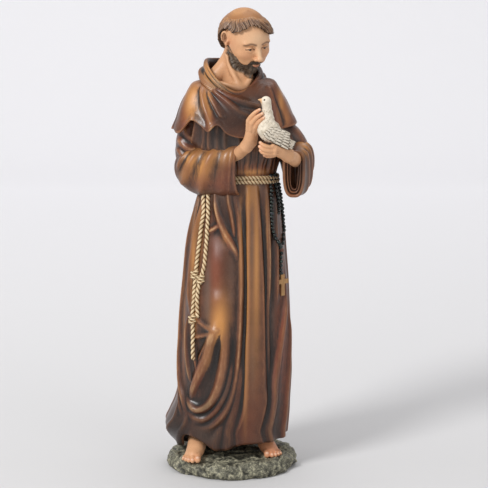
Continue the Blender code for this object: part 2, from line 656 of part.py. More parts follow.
DOVE_LIMBS = {
    "dove_body": [
        (18.6, -34.4, 189.6, 4.4), (20.2, -34.2, 187.4, 5.4), (24.4, -33.8, 185.8, 4.8),
        (29.0, -32.4, 182.6, 3.0), (34.0, -30.6, 179.0, 1.2),
    ],
    "dove_neck": [
        (19.6, -34.4, 188.4, 5.2), (19.4, -34.4, 193.4, 4.0), (19.2, -34.6, 198.2, 2.9),
        (18.9, -34.8, 202.2, 2.8),
    ],
    "dove_beak": [(17.6, -35.0, 202.8, 1.4), (15.3, -35.4, 204.2, 0.5)],
    "dove_wing": [
        (21.0, -37.6, 189.0, 2.8), (24.4, -37.4, 187.0, 3.4), (28.6, -35.6, 183.4, 2.6),
        (33.0, -33.2, 179.8, 0.9),
    ],
    "dove_far_wing": [
        (22.6, -31.2, 191.4, 2.4), (26.0, -30.4, 188.2, 2.8), (30.4, -29.6, 184.0, 2.0),
        (34.6, -28.6, 180.4, 0.8),
    ],
}

# Cords, each a path of (x, z) over the tunic's front, and where they are knotted

BELT_HEIGHT = 158.4
BELT_GAP = 1.15
HANGING_CORDS = [
    [
        (-13.4, 152), (-13.8, 141), (-15.6, 128), (-17.2, 116), (-18.2, 106), (-18.4, 98),
        (-19.4, 86), (-19.6, 80), (-19.6, 70), (-18.8, 62), (-18.4, 58.6),
    ],
    [
        (-12.0, 152), (-12.2, 141), (-12.4, 128), (-13.4, 116), (-14.6, 107), (-15.8, 100),
        (-17.2, 92), (-16.8, 84), (-16.6, 81),
    ],
]
CORD_KNOTS = [(-18.3, 105.0), (-15.2, 103.4), (-19.5, 80.2)]
ROSARY_STRANDS = [
    [(22.0, 158.5), (22.6, 148), (22.8, 138), (23.0, 128), (24.4, 120), (26.2, 115.4)],
    [(23.0, 158.5), (26.2, 151), (28.4, 144), (29.0, 137), (28.8, 130), (27.8, 122), (26.2, 115.4)],
    [(26.2, 115.4), (25.6, 110), (25.6, 104), (26.0, 99.5)],
]
CROSS_TOP = (26.2, 100.5)
CROSS_TURN = 40.0
CROSS_PROUD = 1.5


def on_front(path, count, stand_off):
    """Points on the tunic's front over a path of (x, z), stand_off figure millimetres proud of it."""
    line = along(path, count)
    return tunic_point(front_angle(line[:, 0], line[:, 1]), line[:, 1], stand_off)


# Building

def new_object(name, mesh):
    made = bpy.data.objects.new(name, mesh)
    PARTS.objects.link(made)
    return made


def loft(name, rings, ring_of_rings=False):
    """A closed skin over the rings: capped at both ends, or joined end to end where they form a band."""
    count, columns = rings.shape[:2]
    shape = bmesh.new()
    made = [[shape.verts.new(p) for p in ring] for ring in scaled(rings)]
    steps = range(count if ring_of_rings else count - 1)
    for i in steps:
        low, high = made[i], made[(i + 1) % count]
        for j in range(columns):
            k = (j + 1) % columns
            shape.faces.new((low[j], low[k], high[k], high[j]))
    if not ring_of_rings:
        shape.faces.new(made[0][::-1])
        shape.faces.new(made[-1])
    bmesh.ops.recalc_face_normals(shape, faces=shape.faces)
    mesh = bpy.data.meshes.new(name)
    shape.to_mesh(mesh)
    shape.free()
    return new_object(name, mesh)


def ball(name, middle, radii, frame=Matrix()):
    """An ellipsoid from a sphere primitive, set in the frame that its middle and radii are given in."""
    shape = bmesh.new()
    bmesh.ops.create_uvsphere(shape, u_segments=24, v_segments=16, radius=1.0)
    bmesh.ops.scale(shape, vec=radii, verts=shape.verts)
    bmesh.ops.translate(shape, vec=middle, verts=shape.verts)
    bmesh.ops.transform(shape, matrix=frame, verts=shape.verts)
    for vert in shape.verts:
        vert.co = Vector(scaled(np.array(vert.co)))
    mesh = bpy.data.meshes.new(name)
    shape.to_mesh(mesh)
    shape.free()
    return new_object(name, mesh)


def limb(name, points, count=10):
    """A rounded limb: a curve with a bevel that follows each point's radius, and a ball on each end."""
    line = along(points, count)
    places = scaled(line[:, :3])
    radii = line[:, 3] * (FIGURE_HEIGHT / FIGURE_SHARE)
    tube(name, places, 1.0, radii)
    for end in (0, -1):
        ball(f"{name}_end_{end}", line[end, :3], (line[end, 3],) * 3)


def tube(name, places, depth, radii=None):
    """A curve with a round bevel through places, which are metres."""
    curve = bpy.data.curves.new(name, "CURVE")
    curve.dimensions = "3D"
    curve.bevel_depth = depth
    curve.bevel_resolution = 3
    curve.use_fill_caps = True
    spline = curve.splines.new("POLY")
    spline.points.add(len(places) - 1)
    for i, place in enumerate(places):
        spline.points[i].co = (*place, 1.0)
        spline.points[i].radius = 1.0 if radii is None else radii[i]
    return new_object(name, curve)


def box(name, middle, sides, frame):
    shape = bmesh.new()
    bmesh.ops.create_cube(shape, size=1.0)
    bmesh.ops.scale(shape, vec=sides, verts=shape.verts)
    bmesh.ops.translate(shape, vec=middle, verts=shape.verts)
    bmesh.ops.transform(shape, matrix=frame, verts=shape.verts)
    mesh = bpy.data.meshes.new(name)
    shape.to_mesh(mesh)
    shape.free()
    return new_object(name, mesh)


def build_robe():
    loft("tunic", tunic_rings(240, 110))
    loft("cape", cape_rings(180, 40))
    loft("cowl", cowl_rings(96, 40), ring_of_rings=True)
    left = (LEFT_SLEEVE_START, LEFT_SLEEVE_WAY, LEFT_SLEEVE_KEYS, LEFT_SLEEVE_RIDGES)
    right = (RIGHT_SLEEVE_START, RIGHT_SLEEVE_WAY, RIGHT_SLEEVE_KEYS, RIGHT_SLEEVE_RIDGES)
    loft("left_sleeve", sleeve_rings(*left, 80, 40, 1))
    loft("right_sleeve", sleeve_rings(*right, 80, 40, -1))
    loft("left_arm", upright_rings(LEFT_ARM_KEYS, 40, 12))
    loft("right_arm", upright_rings(RIGHT_ARM_KEYS, 40, 12))
    loft("hood", hood_rings(80, 40))
    ball("under_hem", (1.5, 2, 6), (25, 15, 12))
    ball("chest", (3, -2, 186), (24, 17, 26))


def build_skin():
    frame = head_frame()
    for name, (middle, radii) in HEAD_BLOBS.items():
        ball(name, middle, radii, frame)
    loft("hair", hair_rings(72, 10), ring_of_rings=True)
    for name, points in {**SKIN_LIMBS, **DOVE_LIMBS}.items():
        limb(name, points)
    for foot, toes in TOES.items():
        for i, (middle, radius) in enumerate(toes):
            ball(f"{foot}_toe_{i}", middle, (radius, radius * 1.25, radius))


def build_cords():
    stand_off = CORD_DIAMETER / MM * 0.3
    angle = np.linspace(-math.pi, math.pi, 97)
    for side in (-1, 1):
        level = np.full(len(angle), BELT_HEIGHT + side * BELT_GAP)
        tube(f"belt_{side}", scaled(tunic_point(angle, level, stand_off)), CORD_DIAMETER / 2)
    for i, path in enumerate(HANGING_CORDS):
        tube(f"hanging_cord_{i}", scaled(on_front(path, 60, stand_off)), CORD_DIAMETER / 2)
    for i, place in enumerate(CORD_KNOTS):
        middle = on_front([place, place], 2, stand_off)[0]
        ball(f"knot_{i}", middle, (1.9, 1.9, 2.3))
    bead = ROSARY_DIAMETER / MM * 0.35
    for i, path in enumerate(ROSARY_STRANDS):
        tube(f"rosary_{i}", scaled(on_front(path, 40, bead)), ROSARY_DIAMETER / 2)
    top = Vector(scaled(on_front([CROSS_TOP, CROSS_TOP], 2, CROSS_PROUD)[0]))
    frame = Matrix.Translation(top) @ Matrix.Rotation(math.radians(CROSS_TURN), 4, "Z")
    box("cross_stem", (0, 0, -CROSS_HEIGHT / 2), (CROSS_BAR, CROSS_THICKNESS, CROSS_HEIGHT), frame)
    box("cross_arm", (0, 0, -CROSS_HEIGHT * 0.34), (CROSS_WIDTH, CROSS_THICKNESS, CROSS_BAR), frame)


def rock_radius(angle):
    """How far the ground's edge is from its middle, as a share of the plain oval."""
    return (
        1
        + 0.022 * np.sin(3 * angle + 0.6)
        + 0.016 * np.sin(7 * angle + 1.9)
        + 0.012 * np.sin(13 * angle)
        + 0.008 * np.sin(23 * angle + 2.4)
    )


def build_ground():
    """A low slab of rock with a flat underside."""
    columns = 120
    angle = np.linspace(0, 2 * math.pi, columns, endpoint=False)
    shape = bmesh.new()
    rings = []
    profile = [
        (0.94, 0.0), (0.975, 0.10), (1.0, 0.3), (0.99, 0.55), (0.965, 0.8), (0.92, 0.97),
        (0.84, 1.02), (0.6, 1.0), (0.3, 1.0),
    ]
    for share, level in profile:
        radius = share * rock_radius(angle + level * 0.5)
        x = GROUND_WIDTH / 2 * radius * np.sin(angle)
        y = -GROUND_DEPTH / 2 * radius * np.cos(angle)
        waves = np.sin(9 * angle + 5 * share) + np.sin(4 * angle - 7 * share)
        bumps = 0.05 * waves * level * (1 - (1 - share) ** 2)
        z = GROUND_THICKNESS * (level + (bumps if level else 0 * angle))
        rings.append([shape.verts.new(p) for p in zip(x, y, z)])
    for low, high in zip(rings, rings[1:]):
        for j in range(columns):
            k = (j + 1) % columns
            shape.faces.new((low[j], low[k], high[k], high[j]))
    shape.faces.new(rings[0][::-1])
    shape.faces.new(rings[-1])
    bmesh.ops.recalc_face_normals(shape, faces=shape.faces)
    mesh = bpy.data.meshes.new("ground")
    shape.to_mesh(mesh)
    shape.free()
    return new_object("ground", mesh)


def cast_in_one(name):
    """All the shapes fused into one skin, the way the figure comes out of its mould."""
    graph = bpy.context.evaluated_depsgraph_get()
    whole = bmesh.new()
    for shape in list(PARTS.objects):
        mesh = bpy.data.meshes.new_from_object(shape.evaluated_get(graph))
        whole.from_mesh(mesh)
        bpy.data.objects.remove(shape)
    bmesh.ops.remove_doubles(whole, verts=whole.verts, dist=1e-7)
    mesh = bpy.data.meshes.new(name)
    whole.to_mesh(mesh)
    whole.free()
    cast = new_object(name, mesh)
    remesh = cast.modifiers.new("fuse", "REMESH")
    remesh.mode = "VOXEL"
    remesh.voxel_size = VOXEL
    soften = cast.modifiers.new("soften", "SMOOTH")
    soften.factor = 0.5
    soften.iterations = 2
    bpy.context.view_layer.update()
    graph = bpy.context.evaluated_depsgraph_get()
    fused = bpy.data.meshes.new_from_object(cast.evaluated_get(graph))
    cast.modifiers.clear()
    cast.data = fused
    thin = cast.modifiers.new("facets", "DECIMATE")
    thin.ratio = TRIANGLES / (2 * len(fused.polygons))
    return cast


def resin():
    material = bpy.data.materials.new("painted_resin")
    material.use_nodes = True
    shader = material.node_tree.nodes["Principled BSDF"]
    shader.inputs["Base Color"].default_value = RESIN_BROWN
    shader.inputs["Roughness"].default_value = 0.42
    shader.inputs["Metallic"].default_value = 0.0
    return material


for old in list(bpy.data.objects):
    bpy.data.objects.remove(old)
PARTS = bpy.data.collections.new("saint_francis_statue")
bpy.context.scene.collection.children.link(PARTS)

build_robe()
build_skin()
build_cords()
build_ground()
statue = cast_in_one("saint_francis_statue")
statue.data.materials.append(resin())
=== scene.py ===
"""Looks of a hand-painted cast figure of a friar saint with a dove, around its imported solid.

Lengths inside the forms are figure millimetres, counted from the top of the rock. The figure looks along -Y,
with +X on the right of someone who faces it. scaled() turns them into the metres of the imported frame.
"""

import json
import math

import bmesh
import bpy
import numpy as np
from mathutils import Matrix, Vector

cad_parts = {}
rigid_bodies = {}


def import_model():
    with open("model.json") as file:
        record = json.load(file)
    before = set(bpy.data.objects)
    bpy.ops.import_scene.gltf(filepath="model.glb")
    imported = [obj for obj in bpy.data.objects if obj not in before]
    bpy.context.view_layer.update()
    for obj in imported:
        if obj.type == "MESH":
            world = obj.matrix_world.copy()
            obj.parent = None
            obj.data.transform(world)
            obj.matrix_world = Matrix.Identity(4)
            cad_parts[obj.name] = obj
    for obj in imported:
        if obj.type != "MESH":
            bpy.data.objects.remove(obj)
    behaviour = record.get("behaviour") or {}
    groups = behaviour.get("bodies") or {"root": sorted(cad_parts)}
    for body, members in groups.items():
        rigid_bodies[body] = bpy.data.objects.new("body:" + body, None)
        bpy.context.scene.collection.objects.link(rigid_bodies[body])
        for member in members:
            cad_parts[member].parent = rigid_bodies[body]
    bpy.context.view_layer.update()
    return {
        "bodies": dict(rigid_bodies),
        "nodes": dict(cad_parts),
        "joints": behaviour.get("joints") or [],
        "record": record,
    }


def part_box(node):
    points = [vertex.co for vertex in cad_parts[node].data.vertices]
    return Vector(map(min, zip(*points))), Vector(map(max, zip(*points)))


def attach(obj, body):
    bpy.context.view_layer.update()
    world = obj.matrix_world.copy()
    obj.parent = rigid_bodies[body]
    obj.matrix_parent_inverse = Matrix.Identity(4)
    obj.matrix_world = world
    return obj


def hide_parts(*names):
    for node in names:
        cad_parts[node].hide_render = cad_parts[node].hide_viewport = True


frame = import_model()

NODE = "saint_francis_statue"
MM = 0.001
GROUND_THICKNESS = 8.5
FIGURE_TOP = 251.4
NODE_LOW, NODE_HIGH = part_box(NODE)
SHARE = ((NODE_HIGH[2] - NODE_LOW[2]) / MM - GROUND_THICKNESS) / FIGURE_TOP
GROUND_WIDTH = 74.0
GROUND_DEPTH = 66.0


def scaled(points):
    points = np.array(points, float) * SHARE
    points[..., 2] += GROUND_THICKNESS
    return points * MM


# Curves and carving


def follow(keys, at):
    """A smooth curve through keys, each (position, values...), read at the positions in at."""
    keys = np.asarray(keys, float)
    place, value = keys[:, 0], keys[:, 1:]
    slope = np.gradient(value, place, axis=0)
    i = np.clip(np.searchsorted(place, at) - 1, 0, len(place) - 2)
    span = (place[i + 1] - place[i])[..., None]
    t = np.clip((np.asarray(at)[..., None] - place[i][..., None]) / span, 0, 1)
    return (
        (1 + 2 * t) * (1 - t) ** 2 * value[i]
        + t * (1 - t) ** 2 * span * slope[i]
        + t * t * (3 - 2 * t) * value[i + 1]
        + t * t * (t - 1) * span * slope[i + 1]
    )


def along(points, count):
    """count points on a smooth curve through points, evenly spread over their number."""
    points = np.asarray(points, float)
    keys = np.column_stack([np.arange(len(points)), points])
    return follow(keys, np.linspace(0, len(points) - 1, count))


def even(points, step):
    """A smooth curve through points, with a point every step."""
    line = along(points, 60 * len(points))
    run = np.concatenate([[0], np.cumsum(np.linalg.norm(np.diff(line, axis=0), axis=1))])
    places = np.linspace(0, run[-1], max(2, int(round(run[-1] / step)) + 1))
    return np.stack([np.interp(places, run, line[:, k]) for k in range(line.shape[1])], -1)


def smooth_step(low, high, x):
    t = np.clip((x - low) / (high - low), 0, 1)
    return t * t * (3 - 2 * t)


def lattice(i, j, k, seed):
    """A repeatable number from 0 to 1 for each lattice corner."""
    mixed = (i * 374761393 + j * 668265263 + k * 2147483647 + seed * 1274126177) & 0xFFFFFFFF
    mixed = ((mixed ^ (mixed >> 13)) * 1103515245) & 0xFFFFFFFF
    return ((mixed ^ (mixed >> 16)) & 0xFFFFFF) / float(0xFFFFFF)


def noise(points, size, seed=0):
    """Smooth noise from -1 to 1 at points, with lumps of about size."""
    p = np.asarray(points, float) / size
    cell = np.floor(p).astype(np.int64)
    t = p - cell
    t = t * t * (3 - 2 * t)
    total = 0.0
    for corner in np.ndindex(2, 2, 2):
        weight = 1.0
        for axis in range(3):
            weight = weight * (t[..., axis] if corner[axis] else 1 - t[..., axis])
        near = cell + np.array(corner)
        total = total + weight * lattice(near[..., 0], near[..., 1], near[..., 2], seed)
    return 2 * total - 1


def stroke_height(s, z, path, height, flatness=1.2):
    """The height of one carved fold at (s, z). path is a few (s, z, half width), and its ends fade out."""
    line = along(path, 9 * len(path))
    reach = 4 * line[:, 2].max()
    found = np.zeros(s.shape)
    near = (
        (s > line[:, 0].min() - reach)
        & (s < line[:, 0].max() + reach)
        & (z > line[:, 1].min() - reach)
        & (z < line[:, 1].max() + reach)
    )
    if not near.any():
        return found
    a, b = line[:-1, :2], line[1:, :2]
    ab = b - a
    places = np.stack([s[near], z[near]], -1)
    best = np.full(len(places), np.inf)
    travel = np.zeros(len(places))
    for n in range(len(a)):
        t = np.clip(((places - a[n]) @ ab[n]) / max(ab[n] @ ab[n], 1e-9), 0, 1)
        gap = np.hypot(places[:, 0] - a[n, 0] - t * ab[n, 0], places[:, 1] - a[n, 1] - t * ab[n, 1])
        closer = gap < best
        best[closer] = gap[closer]
        travel[closer] = (n + t[closer]) / len(a)
    width = np.interp(travel, np.linspace(0, 1, len(line)), line[:, 2])
    fade = smooth_step(0, 0.26, travel) * smooth_step(0, 0.22, 1 - travel)
    found[near] = height * fade / (1 + (best / width) ** (2 * flatness))
    return found


def carve(s, z, forms, ridges, spread=1.3):
    """Broad forms added up, with the highest of the ridges on top: round backs and sharp valleys."""
    high = np.zeros(s.shape)
    for height, flatness, path in ridges:
        one = stroke_height(s, z, [(a, b, width * spread) for a, b, width in path], height, flatness)
        high = np.maximum(high, one) + 0.1 * np.minimum(high, one)
    for height, flatness, path in forms:
        high = high + stroke_height(s, z, path, height, flatness)
    return high


def patches(x, z, spots):
    """Airbrushed spots: each (x, z, half width, half height, strength)."""
    total = np.zeros(np.broadcast(x, z).shape)
    for cx, cz, wide, tall, strength in spots:
        total = total + strength * np.exp(-(((x - cx) / wide) ** 2) - ((z - cz) / tall) ** 2)
    return np.clip(total, 0, 1)


# Mesh making


def link(data, name):
    """A new object of the scene that shows the data."""
    made = bpy.data.objects.new(name, data)
    bpy.context.scene.collection.objects.link(made)
    return made


def mesh_of(name, points, faces, masks):
    """A smooth-shaded object from points in figure millimetres, with a value of every mask at each point."""
    mesh = bpy.data.meshes.new(name)
    mesh.from_pydata(scaled(points), [], faces)
    mesh.update()
    mesh.shade_smooth()
    for key, values in masks.items():
        layer = mesh.attributes.new(key, "FLOAT", "POINT")
        layer.data.foreach_set("value", np.asarray(values, np.float32).ravel())
    return link(mesh, name)


def skin_faces(rings, middle, band=False):
    """Faces of a closed skin over rings, which are (rows, columns, 3), turned to look away from middle.

    middle is one point, or one for each face. A band joins its last ring to its first; others get two caps.
    """
    rows, columns = rings.shape[:2]
    i = np.arange(rows if band else rows - 1)[:, None]
    j = np.arange(columns)[None, :]
    up, right = (i + 1) % rows, (j + 1) % columns
    quads = np.stack([i * columns + j, i * columns + right, up * columns + right, up * columns + j], -1)
    quads = quads.reshape(-1, 4)
    p = rings.reshape(-1, 3)[quads]
    normal = np.cross(p[:, 2] - p[:, 0], p[:, 3] - p[:, 1])
    way = 1 if (normal * (p.mean(1) - middle)).sum() > 0 else -1
    faces = quads[:, ::way].tolist()
    if not band:
        first, last = list(range(columns)), list(range((rows - 1) * columns, rows * columns))
        faces += [first[::-way], last[::way]]
    return faces


def loft(name, rings, masks, band=False):
    """One closed skin over rings, as an object."""
    faces = skin_faces(rings, rings.reshape(-1, 3).mean(0), band)
    return mesh_of(name, rings.reshape(-1, 3), faces, masks)


def circle(columns):
    """Angles all the way round in radians: 0 is the front, and they grow towards +X."""
    return np.linspace(-math.pi, math.pi, columns, endpoint=False)


def spread(down, across):
    """Two grids: the values of down for each row, and the values of across for each column."""
    return np.broadcast_arrays(down[:, None], across)


def stacked(x, y, z):
    """Points from coordinates, any of which may be the same along a row or a column."""
    return np.stack(np.broadcast_arrays(x, y, z), -1)


def squared(angle, power):
    """How much further than a circle a rounded square reaches at angle."""
    return 1 / (np.abs(np.sin(angle)) ** power + np.abs(np.cos(angle)) ** power) ** (1 / power)


def blurred(values, across, up):
    """values (rows, columns) smoothed over about across columns and up rows."""
    for _ in range(int(across * across * 2)):
        values = 0.5 * values + 0.25 * (np.roll(values, 1, 1) + np.roll(values, -1, 1))
    for _ in range(int(up * up * 2)):
        padded = np.pad(values, ((1, 1), (0, 0)), "edge")
        values = 0.5 * values + 0.25 * (padded[2:] + padded[:-2])
    return values


def relief(high, wide_step, tall_step):
    """How far each place stands above its surroundings, from the heights of a grid with these steps in mm."""
    fine = high - blurred(high, 0.8 / wide_step, 0.8 / tall_step)
    broad = high - blurred(high, 2.2 / wide_step, 2.2 / tall_step)
    return fine * 1.6 + broad


# Tunic

BELT_HEIGHT = 158.6
BELT_GAP = 1.1
BODICE_TOP = 198.0
# Height, left edge, right edge, front and back.
TUNIC_KEYS = [
    (0, -28, 29.6, -20.2, 22), (5, -31, 30.4, -20.6, 22.6), (10, -34.5, 31, -20.9, 23.2),
    (16, -37.8, 31.6, -21.2, 24), (22, -35.4, 32, -21.9, 24), (29, -32.2, 32.2, -22.6, 24),
    (37, -30, 32.6, -23.4, 23.6), (46, -29.2, 33, -24.2, 23), (60, -28.4, 32.6, -25.2, 22.5),
    (75, -27.4, 32, -25.2, 22), (88, -26.3, 31.4, -24.2, 21.5), (100, -25, 30.8, -22.7, 21),
    (113, -23.8, 29.8, -20.7, 20.5), (128, -22.2, 28.6, -18.7, 19.5), (139, -20.2, 27.6, -17.2, 18.5),
    (149, -17.9, 26.4, -16.2, 17), (158, -16.2, 25, -15.2, 15.6), (170, -20, 28, -18, 17.5),
    (182, -24, 30, -19, 18), (195, -25, 31, -18, 18), (205, -20, 25, -14, 15), (212, -12, 16, -9, 11),
]
# Angle from the front towards +X in degrees, and the hem's height there.
HEM_KEYS = [
    (-180, 2.2), (-120, 1.4), (-85, 3.4), (-70, 5.0), (-61, 5.0), (-55, 6.6), (-48, 10.6), (-41, 13.0),
    (-34, 12.8), (-26, 9.4), (-18, 5.4), (-10, 5.2), (10, 8.0), (35, 8.6), (60, 9.6), (90, 9.8),
    (130, 5.0), (180, 3.0),
]
# Height, flatness, and a path of (x, z, half width) over the front.
TUNIC_FORMS = [
    (2.6, 5.0, [(11.2, 162, 2.4), (11.5, 148.8, 3.4), (12.0, 131, 3.9), (12.4, 113, 4.3), (12.9, 84, 4.8),
        (12.8, 65, 5.3), (12.8, 44, 5.8), (12.2, 28, 6.8), (11.6, 2, 8.0)]),
    (3.2, 1.4, [(-5.5, 132, 7), (-5.0, 112, 8.5), (-5.2, 92, 8.5), (-6.2, 78, 8), (-8, 60, 6)]),
    (1.6, 1.2, [(-5.6, 100, 5), (-6.0, 84, 6.5), (-7.4, 66, 6)]),
]
TUNIC_RIDGES = [
    # Rims of the middle pleat and the folds right of it
    (0.7, 1.0, [(8.2, 158, 0.4), (8.6, 131, 0.5), (8.6, 113, 0.6), (8.6, 84, 0.6), (8.0, 62, 0.7),
        (7.4, 40, 0.7), (5.4, 22, 0.8), (3.6, 0, 0.8), (3.0, -8, 0.8)]),
    (0.7, 1.0, [(14.4, 158, 0.4), (15.2, 135.6, 0.5), (16.2, 117.8, 0.6), (16.8, 84, 0.6), (17.6, 60, 0.7),
        (18.2, 36, 0.7), (18.8, 0, 0.7), (18.8, -10, 0.7)]),
    (2.1, 1.1, [(18.8, 160, 0.7), (19.4, 140, 0.9), (19.8, 117, 0.9), (19.6, 99, 0.9), (18.9, 83, 0.9),
        (19.4, 60, 0.8), (20.0, 40, 0.7)]),
    (1.5, 1.2, [(22.0, 158, 0.8), (23.4, 140, 1.1), (24.0, 120, 1.2), (24.2, 100, 1.1), (23.6, 84, 1.0)]),
    (2.6, 1.4, [(29.8, 122, 1.2), (29.2, 95, 1.6), (28.1, 83, 1.8), (26.6, 72, 1.9), (24.6, 58, 1.9),
        (22.9, 44, 1.9), (22.2, 30, 1.8), (22.3, 4, 1.7), (22.4, -10, 1.6)]),
    (2.2, 1.4, [(31.0, 118, 1.2), (31.4, 82, 1.6), (31.6, 68, 1.8), (31.0, 52, 1.9), (29.8, 37, 1.9),
        (28.4, 20, 1.9), (28, 4, 1.8), (27.8, -8, 1.7)]),
    # Folds left of the middle pleat
    (2.3, 1.1, [(2.0, 160, 0.8), (2.6, 148, 0.9), (3.8, 140, 1.0), (4.8, 126.7, 1.1), (5.5, 113, 1.1),
        (5.5, 98, 1.1), (4.9, 80, 1.1), (4.3, 66, 1.1), (3.2, 52.6, 1.2), (1.5, 42, 1.3),
        (-1.6, 31.5, 1.4), (-5.8, 24.5, 1.5), (-11, 19.6, 1.5), (-17, 18.0, 1.3), (-22.4, 20.6, 1.0)]),
    (1.7, 1.2, [(-1.6, 160, 0.7), (-1.4, 148, 0.8), (-0.1, 140.6, 0.8), (1.2, 133, 0.8),
        (2.6, 122, 0.7)]),
    (1.7, 1.5, [(5.6, 74, 0.9), (5.0, 58, 1.3), (4.2, 44, 1.5), (2.4, 33, 1.6), (0.2, 24, 1.7),
        (-1.8, 14, 1.8), (-3.0, 0, 1.8), (-3.2, -8, 1.8)]),
    # The forked fold over the thigh
    (2.7, 1.2, [(-9.2, 162, 0.6), (-8.0, 147.6, 0.8), (-7.2, 140.6, 0.9), (-5.4, 133.9, 1.2),
        (-2.8, 128.2, 1.3), (0.6, 122.8, 1.3), (3.2, 117.4, 1.1), (4.6, 109, 0.8)]),
    (2.3, 1.2, [(-2.0, 129.0, 1.0), (-4.6, 132.2, 1.1), (-6.6, 132.4, 1.0), (-9.2, 130.6, 0.8),
        (-13, 128.4, 0.7)]),
    # Knee and the folds that fan out from it
    (1.6, 1.2, [(-3.0, 76.6, 1.8), (-8.0, 76.4, 1.3), (-12.8, 77.8, 0.9), (-19.0, 81.6, 0.7)]),
    (1.6, 1.2, [(-3.4, 76.4, 1.6), (-8.4, 74.6, 1.1), (-13.8, 72.2, 0.8), (-21, 69.6, 0.7)]),
    (1.9, 1.2, [(-5.0, 79, 1.1), (-9.6, 72.6, 0.8), (-12.8, 67.2, 0.8), (-15.4, 61.4, 0.8),
        (-18.0, 54, 0.7)]),
    (3.2, 1.6, [(-5.4, 84, 1.4), (-8.2, 75, 1.8), (-10.6, 67, 2.1), (-13.0, 59, 2.3), (-15.6, 52, 2.2),
        (-18.2, 45, 1.9), (-20.4, 38.5, 1.5), (-22.4, 32, 1.1)]),
    (3.4, 1.6, [(-2.6, 84, 1.2), (-2.8, 72, 1.6), (-3.4, 61, 1.9), (-4.8, 50.5, 2.1), (-7.2, 41, 2.1),
        (-10.4, 34.4, 2.0), (-14.4, 30.2, 1.8), (-18.8, 29.2, 1.5), (-22.4, 32.4, 1.2),
        (-24.8, 38.4, 1.0)]),
    (1.9, 1.4, [(0.8, 70, 1.0), (0.2, 56, 1.3), (-1.6, 44, 1.4), (-5, 35, 1.4), (-9.8, 27.4, 1.3),
        (-15.4, 23.4, 1.3), (-21, 25.0, 1.1), (-25, 30.4, 0.9)]),
    (1.2, 1.4, [(-4.4, 24, 1.2), (-7.0, 16, 1.6), (-9.0, 8, 1.8), (-10, -3, 1.8), (-10.4, -10, 1.8)]),
    # Folds down the left side and the swag that they end in
    (2.6, 1.2, [(-18.4, 160, 0.9), (-19.6, 143, 1.1), (-21.8, 129.4, 1.3), (-24.2, 111.5, 1.4),
        (-25.8, 98, 1.4), (-26.8, 82, 1.3), (-27.4, 69, 1.3), (-28.2, 56, 1.3), (-27.8, 45, 1.4),
        (-26.2, 35.4, 1.4), (-24.6, 28.4, 1.2), (-22.4, 23.6, 0.9)]),
    (1.6, 1.2, [(-29.2, 58, 0.7), (-28.9, 44, 0.8), (-28.0, 32, 0.9), (-26.4, 23.4, 0.8)]),
    (2.4, 1.2, [(-13.6, 160, 0.9), (-14.8, 143.8, 1.2), (-17.3, 132.7, 1.6), (-19.1, 121.6, 1.8),
        (-20.5, 110.4, 1.8), (-21.4, 99.1, 1.7), (-21.6, 90.2, 1.4), (-20.6, 76, 1.1)]),
    (1.4, 1.2, [(-16.4, 160, 0.6), (-17.8, 141, 0.8), (-20.2, 124, 0.8), (-21.8, 108, 0.7)]),
    (1.9, 1.2, [(-22.6, 84, 0.8), (-23.6, 72, 0.9), (-23.6, 60, 1.0), (-22.4, 50, 1.0),
        (-20.2, 40, 0.8)]),
    (1.5, 1.2, [(-20.4, 76, 0.7), (-19.6, 64, 0.8), (-18.4, 55, 0.8), (-17.0, 46, 0.7)]),
    (1.3, 1.4, [(-23.8, 30, 0.8), (-26.0, 18, 1.2), (-28.6, 4, 1.5), (-29.4, -8, 1.5)]),
    (1.3, 1.4, [(-28.8, 36, 0.8), (-31.0, 22, 1.3), (-32.8, 6, 1.5), (-33.4, -6, 1.5)]),
    (0.9, 1.3, [(-21.0, 18, 0.9), (-21.8, 12, 1.3), (-22.6, 4, 1.5), (-23.0, -6, 1.5)]),
    # Gathers above and below the belt
    (1.1, 1.2, [(4.6, 158, 0.6), (5.6, 168, 0.9), (4.6, 180, 1.0), (3.4, 192, 0.9)]),
    (1.3, 1.2, [(8.8, 158, 0.6), (8.4, 165, 1.0), (9.4, 172, 1.0), (8.6, 186, 0.8)]),
    (1.0, 1.2, [(11.4, 158, 0.6), (12.6, 164, 0.9), (12.0, 171, 0.8), (13.4, 178, 0.7)]),
    (1.3, 1.2, [(15.6, 158, 0.6), (15.6, 165.5, 1.0), (17.4, 173, 1.1), (19.4, 186, 0.9)]),
    (1.1, 1.2, [(19.4, 158, 0.6), (20.8, 168, 0.9), (23.2, 178, 1.0), (23.6, 188, 0.9)]),
    (1.4, 1.2, [(-20.4, 172, 0.8), (-19.2, 183, 1.0), (-17.4, 196, 1.0)]),
    (1.1, 1.2, [(-15.4, 172, 0.8), (-14.0, 181, 0.9), (-13.8, 196, 0.9)]),
    (1.3, 1.2, [(-11.0, 172, 0.7), (-11.6, 181, 0.8), (-9.8, 196, 0.9)]),
    (1.0, 1.2, [(-7.0, 172, 0.7), (-7.4, 181, 0.9), (-6.6, 196, 0.8)]),
    (1.2, 1.2, [(-2.6, 172, 0.7), (-3.4, 181, 0.9), (-2.0, 196, 0.8)]),
]
# Angle in degrees at the hem and at the waist, half width and height of the folds of the sides and back.
TUNIC_BACK_FOLDS = [
    (-172, -163, 1.6, 1.6), (-158, -150, 2.6, 2.6), (-146, -139, 1.2, 1.3), (-134, -128, 2.2, 2.0),
    (-121, -118, 1.2, 1.2), (-112, -108, 2.4, 2.2), (104, 102, 2.2, 2.0), (113, 112, 1.2, 1.2),
    (122, 124, 2.6, 2.4), (134, 132, 1.3, 1.2), (146, 140, 2.4, 2.2), (158, 151, 1.2, 1.3),
    (172, 164, 3.0, 2.8),
]


